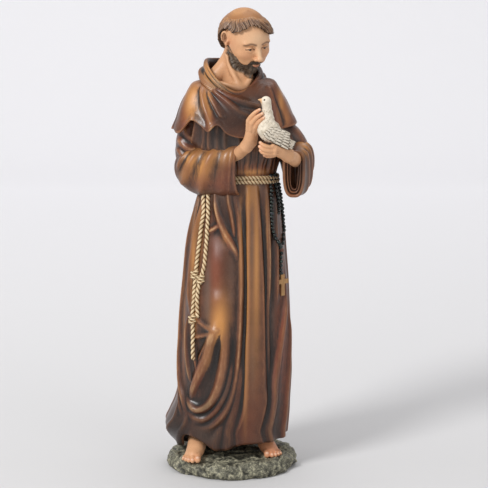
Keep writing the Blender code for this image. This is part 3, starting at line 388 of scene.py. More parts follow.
def tunic_form(z):
    """Middle and half width, middle and half depth of the plain tunic at height z."""
    left, right, front, back = np.moveaxis(follow(TUNIC_KEYS, z), -1, 0)
    return (left + right) / 2, (right - left) / 2, (front + back) / 2, (back - front) / 2


def on_tunic(strokes):
    """The strokes with x turned into the length of arc round the tunic."""
    turned = []
    for height, flatness, path in strokes:
        x, z, width = np.array(path, float).T
        middle_x, half, _, _ = tunic_form(z)
        s = half * np.arcsin(np.clip((x - middle_x) / half, -1, 1))
        turned.append((height, flatness, np.column_stack([s, z, width])))
    return turned


def gathers():
    """Small folds that fan up from the belt."""
    for x in np.arange(-3.0, 25.0, 2.3):
        bend = 0.6 * math.sin(1.7 * x)
        path = [(x, 158, 0.35), (x + bend, 164, 0.55), (x * 1.03 - bend, 171, 0.5), (x * 1.06, 178, 0.4)]
        yield 1.0, 1.1, path


TUNIC_ARC_FORMS = on_tunic(TUNIC_FORMS)
TUNIC_ARC_RIDGES = on_tunic([*TUNIC_RIDGES, *gathers()])
TUNIC_POWER = 2.3
FOLD_LENGTH = 150
BELT_PRESS = 0.8
BELT_REACH = 4.0


def with_back_folds(high, folds, angle, share, radius, strength, power):
    """high with the folds of the sides and back, each from one angle at share 0 to another at share 1."""
    for start, end, width, height in folds:
        centre = np.radians(start + (end - start) * share)
        gap = np.abs((angle - centre + math.pi) % (2 * math.pi) - math.pi) * radius
        high = np.maximum(high, height * strength / (1 + (gap / width) ** power))
    return high


def tunic_height(angle, z):
    """How far the carved folds stand out from the plain tunic."""
    _, half, _, _ = tunic_form(z)
    high = carve(half * angle, z, TUNIC_ARC_FORMS, TUNIC_ARC_RIDGES)
    strength = smooth_step(165, 130, z) * 0.75 + 0.25
    high = with_back_folds(high, TUNIC_BACK_FOLDS, angle, z / FOLD_LENGTH, half, strength, 2.6)
    return high * (1 - BELT_PRESS * np.exp(-(((z - BELT_HEIGHT) / BELT_REACH) ** 2)))


def tunic_point(angle, z, stand_off=0.0, high=None):
    """Points of the carved tunic. angle is in radians from the front towards +X."""
    middle_x, half, middle_y, depth = tunic_form(z)
    out = (tunic_height(angle, z) if high is None else high) + stand_off
    sine, cosine, reach = np.sin(angle), np.cos(angle), squared(angle, TUNIC_POWER)
    across, ahead = sine / half, -cosine / depth
    length = np.hypot(across, ahead)
    x = middle_x + half * sine * reach + across / length * out
    y = middle_y - depth * cosine * reach + ahead / length * out
    return stacked(x, y, z)


def front_angle(x, z):
    """The angle at which the tunic's front passes x."""
    middle_x, half, _, _ = tunic_form(z)
    return np.arcsin(np.clip((x - middle_x) / half, -1, 1))


def on_front(path, step, stand_off):
    """Points every step on the tunic's front over a path of (x, z), stand_off proud of it."""
    line = even(path, step)
    return tunic_point(front_angle(line[:, 0], line[:, 1]), line[:, 1], stand_off)


def place_on_front(x, z, stand_off):
    """One point on the tunic's front."""
    return on_front([(x, z), (x, z - 0.1)], 0.1, stand_off)[0]


# Airbrushed spots: middle x and z, half width, half height and strength. They are golden paint with painted
# highlight, reddish paint, painted grey reflection in shaded folds, and painted shade.
ROBE_SPOTS = {
    "gold_and_highlight": [
        (-7.0, 77, 4.2, 12, 0.9), (-5.0, 86, 4.5, 11, 0.4), (9.2, 122, 1.1, 40, 0.7),
        (14.0, 118, 1.5, 36, 0.65), (8.6, 74, 1.0, 30, 0.5), (12.6, 84, 3.6, 40, 0.25),
        (7.6, 40, 1.2, 22, 0.45), (-20.8, 106, 1.8, 30, 0.85), (-17.2, 132, 1.8, 16, 0.55),
        (5.4, 122, 0.9, 22, 0.7), (19.6, 124, 0.9, 24, 0.6), (11, 151, 3.4, 8, 0.5),
        (12.4, 162.2, 8, 1.6, 0.75), (-12.5, 56, 2.6, 14, 0.35), (-26.6, 76, 0.9, 30, 0.35),
        (-3.0, 127, 2.0, 4.0, 0.5),
    ],
    "rust": [
        (-8.6, 108, 3.6, 24, 0.85), (-1.0, 126, 3.0, 6, 0.8), (-16, 45, 6, 10, 0.75), (-12, 27, 9, 5, 0.7),
        (-25, 50, 4, 24, 0.5), (29, 70, 4, 26, 0.85), (25, 50, 4, 26, 0.75), (29, 30, 5, 22, 0.8),
        (6, 18, 5, 18, 0.5), (19.6, 96, 1.2, 30, 0.5), (13, 164, 10, 3, 0.7), (12, 30, 5, 18, 0.3),
    ],
    "painted_reflection": [
        (-13.0, 96, 2.0, 22, 0.7), (11.6, 128, 1.1, 26, 0.5), (11.8, 60, 1.4, 26, 0.3),
        (0.5, 108, 3.0, 20, 0.35), (-23.4, 44, 2.4, 10, 0.8), (-14, 14, 7, 6, 0.7), (-33, 16, 5, 10, 0.45),
        (22.4, 72, 2.0, 28, 0.7), (25, 24, 2.2, 20, 0.6), (-4, 178, 12, 6, 0.8), (4, 172, 6, 6, 0.5),
        (20, 174, 6, 6, 0.5), (-8, 153, 8, 9, 0.6), (-4, 40, 3, 16, 0.3),
    ],
    "painted_shade": [
        (-32, 14, 8, 15, 0.85), (-12, 10, 20, 11, 0.4), (-15, 27, 14, 13, 0.5), (2, 26, 5, 20, 0.4),
        (-26, 50, 3, 22, 0.3), (25, 20, 9, 16, 0.35), (0, 4, 40, 7, 0.4), (8, 178, 16, 10, 0.45),
        (24, 142, 4, 22, 0.6), (-4, 152, 18, 6, 0.4), (-12, 184, 14, 9, 0.55), (0, 178, 8, 8, 0.35),
        (-24, 62, 2.2, 26, 0.35), (20.8, 60, 1.5, 50, 0.8), (26.2, 34, 1.5, 40, 0.5),
        (-14.6, 40, 3.0, 12, 0.45),
    ],
}


def spot_masks(points, spots, all_round=False):
    """The masks of the airbrushed spots at points, on the front alone or all round: golden paint with painted
    highlight, reddish paint, painted grey reflection and painted shade.
    """
    x, y, z = np.moveaxis(points, -1, 0)
    front = 1.0 if all_round else smooth_step(8, -4, y)
    return {key: patches(x, z, spots.get(key, [])) * front for key in ("gold_and_highlight", "rust", "painted_reflection", "painted_shade")}


def robe_masks(points, high, wide_step, tall_step, spots, all_round=False):
    """The paint masks of a cloth grid: its relief, which drives painted highlight on crests and painted shade
    in creases, and its airbrushed spots.
    """
    return {"lift": relief(high, wide_step, tall_step), **spot_masks(points, spots, all_round)}


def with_rim(masks, shades):
    """The masks with rows put before them for a turned-in rim, with painted shade as strong as shades."""
    full = {}
    for key, value in masks.items():
        rim = np.repeat(value[:1], len(shades), 0)
        if key == "painted_shade":
            rim = np.repeat(np.array(shades)[:, None], value.shape[1], 1)
        full[key] = np.concatenate([rim, value])
    return full


# Height above the hem, how far inside the wall, and how much painted shade, from the inside out round the
# hem's edge.
HEM_RIM = [(7.0, 3.4, 1.0), (3.0, 2.6, 1.0), (0.8, 2.2, 0.9), (0.0, 1.5, 0.4), (0.0, 0.7, 0.1)]
HEM_ROUNDING = 0.6
HEM_HIGHLIGHT = 0.5
HEM_HIGHLIGHT_HEIGHT = 0.8
TUNIC_GIRTH = 190


def tunic_piece(name, columns, rows, low, top, hem):
    """A part of the tunic from low or the hem up to top, with a hollowed rim where it has a hem."""
    angle = circle(columns)
    bottom = follow(HEM_KEYS, np.degrees(angle))[:, 0] if hem else np.full(columns, low)
    share = np.linspace(0, 1, rows)[:, None]
    z = bottom + (HEM_ROUNDING if hem else 0.0) + share * (top - bottom)
    high = tunic_height(np.broadcast_to(angle, z.shape), z)
    wall = tunic_point(angle, z, 0.0, high)
    masks = robe_masks(wall, high, TUNIC_GIRTH / columns, (top - low) / rows, ROBE_SPOTS)
    if hem:
        # Painted highlight along the lowest rows of the hem.
        masks["lift"] = masks["lift"] + HEM_HIGHLIGHT * np.exp(-(z - bottom) / HEM_HIGHLIGHT_HEIGHT)
        inner = [tunic_point(angle, bottom + rise, -inward, high[0]) for rise, inward, _ in HEM_RIM]
        wall = np.concatenate([inner, wall])
        masks = with_rim(masks, [shade for _, _, shade in HEM_RIM])
    return loft(name, wall, masks)


# Shoulder cape

CAPE_CENTRE = (1.8, 0.5)
# Share of the way from the neck to the hem, side radius and height, front radius and height, back ones.
CAPE_KEYS = [
    (0.0, 12, 215, 10, 209, 10, 217), (0.2, 17.6, 212, 14.5, 204.5, 15, 211.5),
    (0.4, 23.0, 207.5, 18.4, 199.5, 18.5, 204), (0.6, 27.0, 201, 20.8, 194, 20.5, 196),
    (0.8, 30.0, 193.5, 22.0, 188.5, 21.5, 187), (1.0, 32.2, 186, 22.8, 183, 22, 178),
]
# Height, flatness, and a path of (x, z, half width) over the front.
CAPE_RIDGES = [
    (2.6, 1.1, [(-16.0, 213, 1.4), (-18.6, 209, 1.8), (-22.0, 202, 2.2), (-24.8, 195, 2.4),
        (-26.6, 187, 2.3), (-27.4, 177, 2.2)]),
    (2.8, 1.1, [(-15.4, 211, 0.9), (-14.6, 206, 1.2), (-13.2, 199, 1.5), (-11.2, 193, 1.7),
        (-9.8, 187, 1.9), (-8.6, 177, 2.0)]),
    (1.6, 1.2, [(-13.4, 208.6, 0.7), (-10.8, 203.6, 0.9), (-8.1, 198.6, 1.1), (-5.6, 194, 1.2),
        (-4.0, 190, 1.0)]),
    (2.2, 1.2, [(-11.8, 209, 0.8), (-8.4, 206, 1.0), (-2.6, 201.6, 1.3), (3.6, 196.4, 1.4),
        (8.4, 194.2, 1.4), (14, 192.6, 1.1)]),
    (1.9, 1.2, [(-10.4, 209.4, 0.8), (-6.4, 206.8, 1.0), (-0.5, 203.4, 1.2), (5.7, 201.2, 1.2),
        (14, 199.0, 1.2), (19, 198.4, 0.9)]),
    (1.1, 1.2, [(0.6, 199.6, 0.7), (5.0, 197.4, 0.9), (10, 196.4, 0.9), (15.4, 196.2, 0.7)]),
    (2.5, 1.1, [(18.0, 214, 1.2), (20.8, 211, 1.5), (25.4, 203, 1.8), (29.4, 195, 1.9), (31.8, 188, 2.0),
        (33.2, 177, 2.0)]),
    (1.7, 1.1, [(18.2, 210, 0.9), (20.1, 207.4, 1.1), (22.3, 200, 1.3), (24.5, 192, 1.5),
        (25.8, 178, 1.5)]),
    (1.0, 1.2, [(-20.6, 197, 0.8), (-20.4, 190, 1.0), (-19.6, 180, 1.0)]),
]
# Angle in degrees at the neck and at the hem, half width and height of the folds on the sides and the back.
CAPE_BACK_FOLDS = [
    (-84, -86, 3.0, 2.0), (-96, -101, 1.6, 1.4), (-108, -116, 3.0, 2.4), (-124, -133, 1.8, 1.4),
    (-140, -150, 3.2, 2.4), (96, 94, 2.6, 1.8), (106, 108, 1.6, 1.3), (114, 122, 3.0, 2.4),
    (128, 138, 1.8, 1.4), (142, 154, 3.2, 2.4),
]
# Angle in degrees and how far the hem lifts there.
CAPE_HEM = [
    (-180, 0), (-125, 1.5), (-100, -1.5), (-80, -1.2), (-66, -2.0), (-52, 6.2), (-42, 4.0), (-32, 1.2),
    (-21, 5.4), (-11, 1.4), (2, -0.8), (35, -0.4), (60, 1.0), (90, 2.0), (112, -0.5), (130, 1.5), (180, 0),
]
# Airbrushed spots of the cape: golden paint with painted highlight, reddish paint, painted grey reflection
# and painted shade.
CAPE_SPOTS = {
    "gold_and_highlight": [
        (-19.5, 203, 4.8, 7.5, 1.0), (-22.6, 196, 3, 8, 0.6), (-11.6, 197, 1.4, 8, 0.55),
        (27.4, 201, 1.8, 9, 0.7), (-13, 204, 2, 6, 0.5), (30.5, 192, 2.0, 6, 0.4),
    ],
    "rust": [
        (-25, 192, 3, 8, 0.9), (-12, 193, 3, 8, 0.55), (30, 194, 4, 9, 0.95), (23, 199, 3, 9, 0.6),
        (-16, 208, 5, 4, 0.6), (-2, 203, 8, 4, 0.45),
    ],
    "painted_reflection": [
        (-17.4, 193, 2.4, 8, 1.0), (32.5, 199, 2.2, 7, 0.8), (-29, 196, 2, 8, 0.4), (12, 200, 8, 3, 0.3),
    ],
    "painted_shade": [(9, 197, 10, 9, 0.75), (-5, 196, 4, 6, 0.35), (2, 188, 12, 5, 0.4), (20, 192, 3.5, 12, 0.5)],
}
# Share of the way down, how far inside the wall, and how much painted shade, from the inside out round the
# hem's edge.
CAPE_RIM = [(0.66, 3.4, 1.0), (0.9, 2.6, 1.0), (0.97, 1.9, 0.7), (0.995, 1.3, 0.2), (1.006, 0.6, 0.0)]
# How wide the rings inside the neck are as a share of its edge, and how far they lie below it.
CAPE_NECK = [(0.86, 3.0), (0.74, 8.0), (0.5, 12.0)]
CAPE_TOP = 0.12
CAPE_POWER = 2.2
CAPE_GIRTH = 170
CAPE_DROP = 45


def cape_height(angle, share, x, z, radius):
    """How far the folds stand out from the plain cape."""
    high = carve(x, z, [], CAPE_RIDGES) * smooth_step(-0.25, 0.1, np.cos(angle))
    return with_back_folds(high, CAPE_BACK_FOLDS, angle, share, radius, smooth_step(0.1, 0.7, share), 2.4)


def cape_point(angle, share, stand_off=0.0, high=None):
    """Points of the cape over the shoulders, and its relief: share 0 is at the neck and 1 at the hem."""
    side_r, side_z, front_r, front_z, back_r, back_z = np.moveaxis(follow(CAPE_KEYS, share), -1, 0)
    sine, cosine = np.sin(angle), np.cos(angle)
    end_r = np.where(cosine > 0, front_r, back_r)
    end_z = np.where(cosine > 0, front_z, back_z)
    oval = np.abs(sine / side_r) ** CAPE_POWER + np.abs(cosine / end_r) ** CAPE_POWER
    radius = 1 / oval ** (1 / CAPE_POWER)
    lift = follow(CAPE_HEM, np.degrees(angle))[..., 0] * smooth_step(0.55, 1.0, share)
    level = end_z + (side_z - end_z) * sine**2 + lift
    if high is None:
        high = cape_height(angle, share, CAPE_CENTRE[0] + radius * sine, level - lift * 0.5, radius)
    out = high + smooth_step(0.82, 1.0, share) + stand_off
    x = CAPE_CENTRE[0] + (radius + out) * sine
    y = CAPE_CENTRE[1] - (radius + out) * cosine
    rise = out * (1 - smooth_step(0.1, 0.7, share)) * 0.6
    return np.stack([x, y, level + rise], -1), high


def cape_piece():
    columns, rows = 430, 78
    share, angle = spread(np.linspace(1, CAPE_TOP, rows), circle(columns))
    wall, high = cape_point(angle, share)
    masks = robe_masks(wall, high, CAPE_GIRTH / columns, CAPE_DROP / rows, CAPE_SPOTS)
    # Painted highlight along the hem's rolled edge, and painted shade on the rows turned in under it.
    masks["lift"] = masks["lift"] + 0.9 * smooth_step(0.955, 0.985, share)
    masks = with_rim(masks, [shade for _, _, shade in CAPE_RIM])
    for key, value in masks.items():
        masks[key] = np.concatenate([value, np.repeat(value[-1:], len(CAPE_NECK), 0)])
    inner = [cape_point(angle[0], np.full(columns, at), -inward, high[0])[0] for at, inward, _ in CAPE_RIM]
    neck = [wall[-1] * (width, width, 1) + (0.3, 0.1, -drop) for width, drop in CAPE_NECK]
    return loft("cape", np.concatenate([inner, wall, neck]), masks)


# Cowl and hood

# Angle in degrees, radius to the inner rim, and the rim's height.
COWL_KEYS = [
    (-180, 12.5, 221.5), (-130, 14.2, 222.5), (-95, 14.4, 222.5), (-62, 14.2, 217.5), (-30, 13.8, 211),
    (5, 13.0, 206), (25, 12.6, 207.2), (60, 12.8, 213), (90, 13.0, 217), (130, 12.6, 220.5),
    (180, 12.5, 221.5),
]
# Distance out from the inner rim, and height above it, round the cowl's section.
COWL_SECTION = [
    (2.5, -13.0), (0.6, -9.0), (-0.1, -5.0), (-0.2, -2.0), (0.3, -0.5), (1.1, 0.1), (2.0, -0.3),
    (2.7, -1.5), (3.0, -3.0), (2.6, -4.3), (3.3, -4.5), (4.4, -5.3), (5.0, -6.9), (5.0, -8.6), (4.2, -9.8),
    (4.9, -10.2), (5.4, -11.4), (4.9, -13.0), (3.6, -14.0),
]
COWL_CENTRE = (1.9, 1.0)
# Where a fold runs along the roll: place round its section, drift with the angle, height and half width.
COWL_FOLDS = [
    (0.30, 0.020, 0.5, 0.024), (0.41, 0.030, 0.9, 0.032), (0.52, 0.034, 0.6, 0.022),
    (0.62, 0.020, 1.0, 0.034), (0.73, 0.030, 0.6, 0.024), (0.82, 0.020, 0.7, 0.026),
]
# Airbrushed spots of the cowl: golden paint with painted highlight, reddish paint, painted grey reflection
# and painted shade.
COWL_SPOTS = {
    "gold_and_highlight": [(-10, 214, 6, 5, 0.85), (3, 207.5, 6, 1.6, 0.5), (-13, 219, 3, 4, 0.6)],
    "rust": [(-2, 204.4, 8, 2.4, 0.8), (15, 210, 4, 5, 0.6), (-12, 209, 5, 3, 0.7)],
    "painted_reflection": [(16, 216, 4, 5, 0.6), (-14, 222, 4, 3, 0.5)],
    "painted_shade": [(18, 212, 3.4, 5, 0.5), (8, 203, 7, 2.4, 0.6)],
}
COWL_INSIDE = 0.32
# Degrees from the front and half width of the place with etched lines, and their number round the section.
ETCHED_ANGLE = -34
ETCHED_WIDTH = 20
ETCHED_LINES = 64


def cowl_piece():
    """The thick roll of cloth round the neck, with folds that run along it."""
    columns, sections = 350, 96
    angle = circle(columns)
    inner, rim = follow(COWL_KEYS, np.degrees(angle)).T
    out = along(COWL_SECTION + COWL_SECTION[:1], sections + 1)[:-1]
    step, rise = out[:, :1], out[:, 1:]
    wobble = 0.35 * np.sin(5 * angle + 1.0) + 0.2 * np.sin(11 * angle)
    outer = smooth_step(1.0, 5.0, step)
    radius = inner + step + outer * wobble * (1 + 0.5 * np.sin(2 * angle))
    sag = outer * 0.5 * np.sin(3 * angle + 0.8 * rise)
    x = COWL_CENTRE[0] + radius * np.sin(angle)
    y = COWL_CENTRE[1] - radius * np.cos(angle)
    rings = np.stack([x, y, rim + rise + sag], -1)
    run = np.linspace(0, 1, sections, endpoint=False)[:, None]
    folds = np.zeros(rings.shape[:2])
    for start, drift, height, width in COWL_FOLDS:
        gap = run - start - drift * angle - 0.012 * np.sin(3 * angle + 9 * start)
        fold = height * (0.75 + 0.25 * np.sin(2 * angle + 7 * start)) / (1 + (gap / width) ** 2)
        folds = np.maximum(folds, fold)
    centre = rings.mean(0)
    outwards = rings - centre
    outwards /= np.linalg.norm(outwards, axis=-1, keepdims=True)
    rings = rings + outwards * folds[..., None]
    bend = rings - (np.roll(rings, 4, 0) + np.roll(rings, -4, 0)) / 2
    bulge = np.linalg.norm(bend, axis=-1) * np.sign((bend * (rings - centre)).sum(-1))
    masks = {"lift": blurred(bulge * 2.4, 0, 2) - 0.45, **spot_masks(rings, COWL_SPOTS)}
    # Painted shade inside the neck opening of the roll.
    inside = smooth_step(0.9, 0.1, step) * (run < COWL_INSIDE)
    masks["painted_shade"] = np.clip(masks["painted_shade"] + inside, 0, 1)
    etched = np.exp(-(((np.degrees(angle) - ETCHED_ANGLE) / ETCHED_WIDTH) ** 2))
    masks["etched"] = etched * smooth_step(0.9, 2.0, step)
    masks["ply"] = 2 * math.pi * ETCHED_LINES * (run - 0.02 * np.sin(3 * angle)) + 2.0 * np.sin(7 * angle)
    return loft("cowl", rings, masks, band=True)


# Height, middle x, half width, and how far back the hood reaches there.
HOOD_KEYS = [
    (213, 2, 16.6, 20.4), (209, 2, 17.6, 22.5), (201, 2, 17.0, 25.6), (193, 2, 14.6, 27.2),
    (186, 2, 10.6, 27.4), (180, 2, 6.0, 26.4), (176, 2, 2.0, 24.8),
]
HOOD_FRONT = 12.0
HOOD_POWER = 2.6
HOOD_RIDGES = [
    (2.2, 1.2, [(-17, 214, 1.4), (-10, 203, 1.7), (2, 197, 1.9), (14, 203, 1.7), (21, 214, 1.4)]),
    (2.0, 1.2, [(-16, 205, 1.2), (-9, 194, 1.6), (2, 188, 1.8), (13, 194, 1.6), (20, 205, 1.2)]),
    (1.6, 1.2, [(-11, 215, 1.1), (-6, 208, 1.4), (2, 205, 1.5), (10, 208, 1.4), (15, 215, 1.1)]),
    (1.4, 1.2, [(-12, 197, 1.0), (-6, 186, 1.3), (2, 181, 1.4), (10, 186, 1.3), (16, 197, 1.0)]),
]


def hood_piece():
    """The hood, laid back between the shoulders."""
    columns, rows = 180, 66
    z, angle = spread(np.linspace(HOOD_KEYS[-1][0], HOOD_KEYS[0][0], rows), circle(columns))
    middle, half, back = np.moveaxis(follow(HOOD_KEYS[::-1], z), -1, 0)
    sine, cosine, reach = np.sin(angle), np.cos(angle), squared(angle, HOOD_POWER)
    x = middle + half * sine * reach
    y = HOOD_FRONT - (back - HOOD_FRONT) * cosine * reach
    high = carve(x, z, [], HOOD_RIDGES) * smooth_step(0.0, 0.4, -cosine)
    points = np.stack([x, y + high, z], -1)
    return loft("hood", points, robe_masks(points, high, 0.5, 0.5, {}))


# Sleeves

# cuff: how far ahead of the sleeve's end, how far inside it, and how much painted shade.
# keys: distance from the elbow, reach up, down, to the front and to the back.
# ridges: height, flatness, and a path of distance, millimetres round the sleeve and half width.
# The spots are golden paint with painted highlight, reddish paint, painted grey reflection and painted shade.
LEFT_SLEEVE = {
    "cuff": [
        (0.35, 0.35, 0.0), (0.5, 0.8, 0.0), (0.3, 1.2, 0.15), (-0.6, 1.5, 0.5), (-3.0, 1.9, 0.9),
        (-6.0, 2.6, 1.0), (-9.0, 3.6, 1.0), (-12.0, 5.2, 1.0),
    ],
    "start": (-31.2, -1.0, 163.5),
    "way": (0.93, -0.37, 0.0),
    "side": 1,
    "square": 2.0,
    "keys": [
        (0.0, 0.4, 0.4, 0.4, 0.4), (1.2, 4.5, 4.5, 4.0, 4.0), (4.0, 8.0, 9.0, 7.0, 7.0),
        (9.0, 11.0, 13.0, 9.0, 9.5), (16, 12.6, 14.8, 9.8, 10), (25, 14.0, 15.2, 9.8, 9),
        (33, 15.2, 15.0, 9.0, 7.5), (38.5, 16.0, 14.2, 8.0, 6.5),
    ],
    "ridges": [
        (1.0, 1.2, [(34.6, -24, 1.2), (34.4, -12, 1.7), (33.0, 0, 2.1), (30.2, 10, 2.0), (26.4, 20, 1.5),
            (24, 26, 1.2)]),
        (1.9, 1.2, [(29.6, -22, 1.0), (27.4, -11, 1.5), (23.4, -2, 1.9), (18.6, 7, 1.9), (13.4, 16, 1.5),
            (11.0, 22, 1.2)]),
        (1.7, 1.2, [(21.6, -20, 0.8), (18.6, -12, 1.3), (13.6, -3.6, 1.6), (8.2, 4.4, 1.5),
            (3.4, 11, 1.0)]),
        (0.8, 1.2, [(26.0, -8, 0.6), (22.0, -0.5, 0.7), (17.0, 7.6, 0.7), (12, 14, 0.6)]),
        (1.5, 1.2, [(14.4, -18, 0.8), (10.6, -10, 1.1), (6.6, -4, 1.2), (3.0, 2, 1.0)]),
        (0.8, 1.2, [(37.0, -14, 0.5), (36.4, -2, 0.6), (34.4, 8, 0.6), (31, 16, 0.5)]),
    ],
    "gold_and_highlight": [
        (-17, 166, 6, 8, 0.9), (-24, 170, 3.2, 4, 0.8), (-7, 172, 6, 5, 0.6), (-26, 160, 2.6, 5, 0.4),
        (0, 173, 3, 4, 0.4),
    ],
    "rust": [(-10, 156, 12, 6, 0.55), (-20, 161, 6, 6, 0.4), (0, 164, 4, 8, 0.35)],
    "painted_reflection": [
        (-28, 158, 2.0, 6, 0.6), (1.6, 162, 2.2, 9, 0.4), (-16, 151, 8, 2.2, 0.5), (-9, 165, 1.4, 8, 0.3),
    ],
    "painted_shade": [(-29, 174, 2.0, 4, 0.5), (-12, 148, 16, 2.0, 0.5)],
}
RIGHT_SLEEVE = {
    "cuff": [
        (0.3, 0.3, 0.0), (0.55, 0.7, 0.0), (0.5, 1.2, 0.0), (0.0, 1.6, 0.3), (-1.4, 1.8, 0.95),
        (-1.5, 2.1, 0.8), (-0.7, 2.4, 0.2), (-0.6, 2.8, 0.15), (-1.2, 3.2, 0.5), (-2.4, 3.3, 1.0),
        (-2.4, 3.6, 0.8), (-1.7, 3.9, 0.3), (-1.7, 4.2, 0.3), (-2.4, 4.6, 0.7), (-4.0, 4.8, 0.65),
        (-8.0, 5.4, 0.5),
    ],
    "start": (38.6, 14.0, 166.0),
    "way": (-0.13, -0.99, 0.0),
    "side": -1,
    "square": 3.0,
    "keys": [
        (0.0, 0.4, 0.4, 0.4, 0.4), (1.2, 5.5, 5.5, 3.6, 3.6), (4.0, 9.0, 10.0, 6.0, 6.0),
        (9.0, 12, 14.0, 7.6, 7.6), (17, 12.5, 16.5, 7.6, 7.6), (26, 10.5, 17.4, 6.8, 6.8),
        (33, 8.5, 17.4, 6.2, 6.2),
    ],
    "ridges": [
        (1.7, 1.2, [(31, -12, 0.9), (29.6, -6, 1.2), (27, 1, 1.4), (24, 9, 1.3), (21, 17, 1.0)]),
        (1.9, 1.2, [(25, -12, 0.9), (22.4, -6, 1.2), (19, 1, 1.4), (15, 9, 1.3), (11.6, 16, 1.0)]),
        (1.6, 1.2, [(17.4, -12, 0.8), (14, -6, 1.1), (10, 0, 1.2), (6.6, 7, 1.0)]),
        (1.2, 1.2, [(10, -12, 0.8), (7, -6, 1.0), (4, 0, 0.9)]),
    ],
    "gold_and_highlight": [(41, 176, 3, 4, 0.9), (38, 180, 3, 3, 0.5)],
    "rust": [(44, 160, 3, 10, 0.4), (34, 148, 8, 2.4, 0.6)],
    "painted_reflection": [(42, 164, 3, 10, 0.6), (40, 154, 3, 8, 0.5), (36, 158, 3, 12, 0.4)],
    "painted_shade": [],
}


ARC_PER_RADIAN = 9.0
CLOTH_STEP = 0.35


def sleeve_piece(name, sleeve, columns, rows):
    """A bell sleeve round the forearm, with its cuff hollowed."""
    start, way = np.array(sleeve["start"]), np.array(sleeve["way"])
    way = way / np.linalg.norm(way)
    across = np.cross((0, 0, 1), way) * -sleeve["side"]
    up = np.array((0, 0, 1.0))
    length = sleeve["keys"][-1][0]
    angle = circle(columns)
    distance, angles = spread(length * np.linspace(0, 1, rows) ** 1.15, angle)
    high = carve(distance, -ARC_PER_RADIAN * angles, [], sleeve["ridges"])
    lower = 1 - 0.6 * smooth_step(-0.6, -1.0, np.sin(angle))
    upper = 1 - 0.75 * smooth_step(0.5, 0.95, np.sin(angle))
    high = high * smooth_step(1.5, 6.0, distance) * lower * upper

    def skin(at, inward, high):
        tall_up, tall_down, front, back = np.moveaxis(follow(sleeve["keys"], at), -1, 0)
        reach = squared(angle, 2 + (sleeve["square"] - 2) * smooth_step(0.0, length, at))
        sine, cosine = np.sin(angle) * reach, np.cos(angle) * reach
        tall = np.where(sine > 0, tall_up, tall_down) - inward + high
        wide = np.where(cosine > 0, front, back) - inward + high
        sideways = (cosine * wide)[..., None] * across
        return start + way * at[..., None] + sideways + (sine * tall)[..., None] * up

    wall = skin(distance, 0.0, high)
    masks = robe_masks(wall, high, CLOTH_STEP, CLOTH_STEP, sleeve, all_round=True)
    # Painted highlight on the cuff's edge.
    masks["lift"] = masks["lift"] + smooth_step(length - 0.9, length - 0.3, distance)
    rims = []
    for ahead, inward, _ in sleeve["cuff"]:
        at = np.full(columns, length + min(ahead, 0.0))
        inner_fold = 0.7 * np.sin(5 * angle + 1.2) * smooth_step(-1.0, -6.0, ahead)
        rims.append(skin(at, inward, high[-1] * 0.8 + inner_fold) + way * max(ahead, 0.0))
    # Painted shade inside the cuff, where the other masks fade out.
    shades = np.repeat([[shade] for _, _, shade in sleeve["cuff"]], columns, 1)
    for key, value in masks.items():
        rim = shades if key == "painted_shade" else value[-1:] * (1 - shades)
        masks[key] = np.concatenate([value, rim])
    return loft(name, np.concatenate([wall, rims]), masks)


# Upper arms: height, middle x and y, half width and half depth.
LEFT_ARM_KEYS = [
    (160, -21, 0, 6, 8), (168, -22.4, 0.5, 8.2, 10), (178, -22.4, 1, 8.0, 10), (190, -20, 1, 8.0, 9.5),
    (203, -14, 1, 7, 8),
]
RIGHT_ARM_KEYS = [
    (158, 35, 4, 6, 8), (168, 34.6, 4, 8.2, 10), (178, 32.4, 3, 8.6, 10.5), (190, 24.4, 2, 8.0, 9.5),
    (203, 18, 1, 7, 8),
]
LEFT_ARM_RIDGES = [
    (1.6, 1.2, [(-29, 182, 1.0), (-27, 177, 1.3), (-22, 174, 1.3), (-18, 175, 1.0)]),
    (1.4, 1.2, [(-30, 176, 0.9), (-27, 171, 1.2), (-23, 169, 1.0)]),
    (1.2, 1.2, [(-26, 188, 0.9), (-24, 182, 1.1), (-20, 179, 1.0)]),
]
RIGHT_ARM_RIDGES = [
    (1.5, 1.2, [(33, 188, 1.0), (37, 182, 1.3), (40, 176, 1.3), (41, 168, 1.0)]),
    (1.3, 1.2, [(30, 184, 0.9), (33, 178, 1.1), (36, 172, 1.1)]),
    (1.2, 1.2, [(38, 186, 0.9), (41, 180, 1.0), (43, 174, 0.9)]),
]
# Airbrushed spots of the upper arms: reddish paint, painted shade, and on the right a painted grey
# reflection.
LEFT_ARM_SPOTS = {"rust": [(-26, 182, 5, 7, 0.7)], "painted_shade": [(-20, 184, 5, 6, 0.5)]}
RIGHT_ARM_SPOTS = {
    "rust": [(38, 184, 4, 4, 0.5)],
    "painted_reflection": [(36, 178, 4, 6, 0.3)],
    "painted_shade": [(31, 182, 4, 6, 0.5)],
}


def arm_piece(name, keys, ridges, spots):
    columns, rows = 124, 60
    z, angle = spread(np.linspace(keys[0][0], keys[-1][0], rows), circle(columns))
    x, y, wide, deep = np.moveaxis(follow(keys, z), -1, 0)
    sine, cosine = np.sin(angle), np.cos(angle)
    high = carve(x + wide * sine, z, [], ridges) * smooth_step(-0.5, 0.2, cosine)
    points = np.stack([x + (wide + high) * sine, y - (deep + high) * cosine, z], -1)
    return loft(name, points, robe_masks(points, high, CLOTH_STEP, 0.5, spots))


# Ropes and rosary

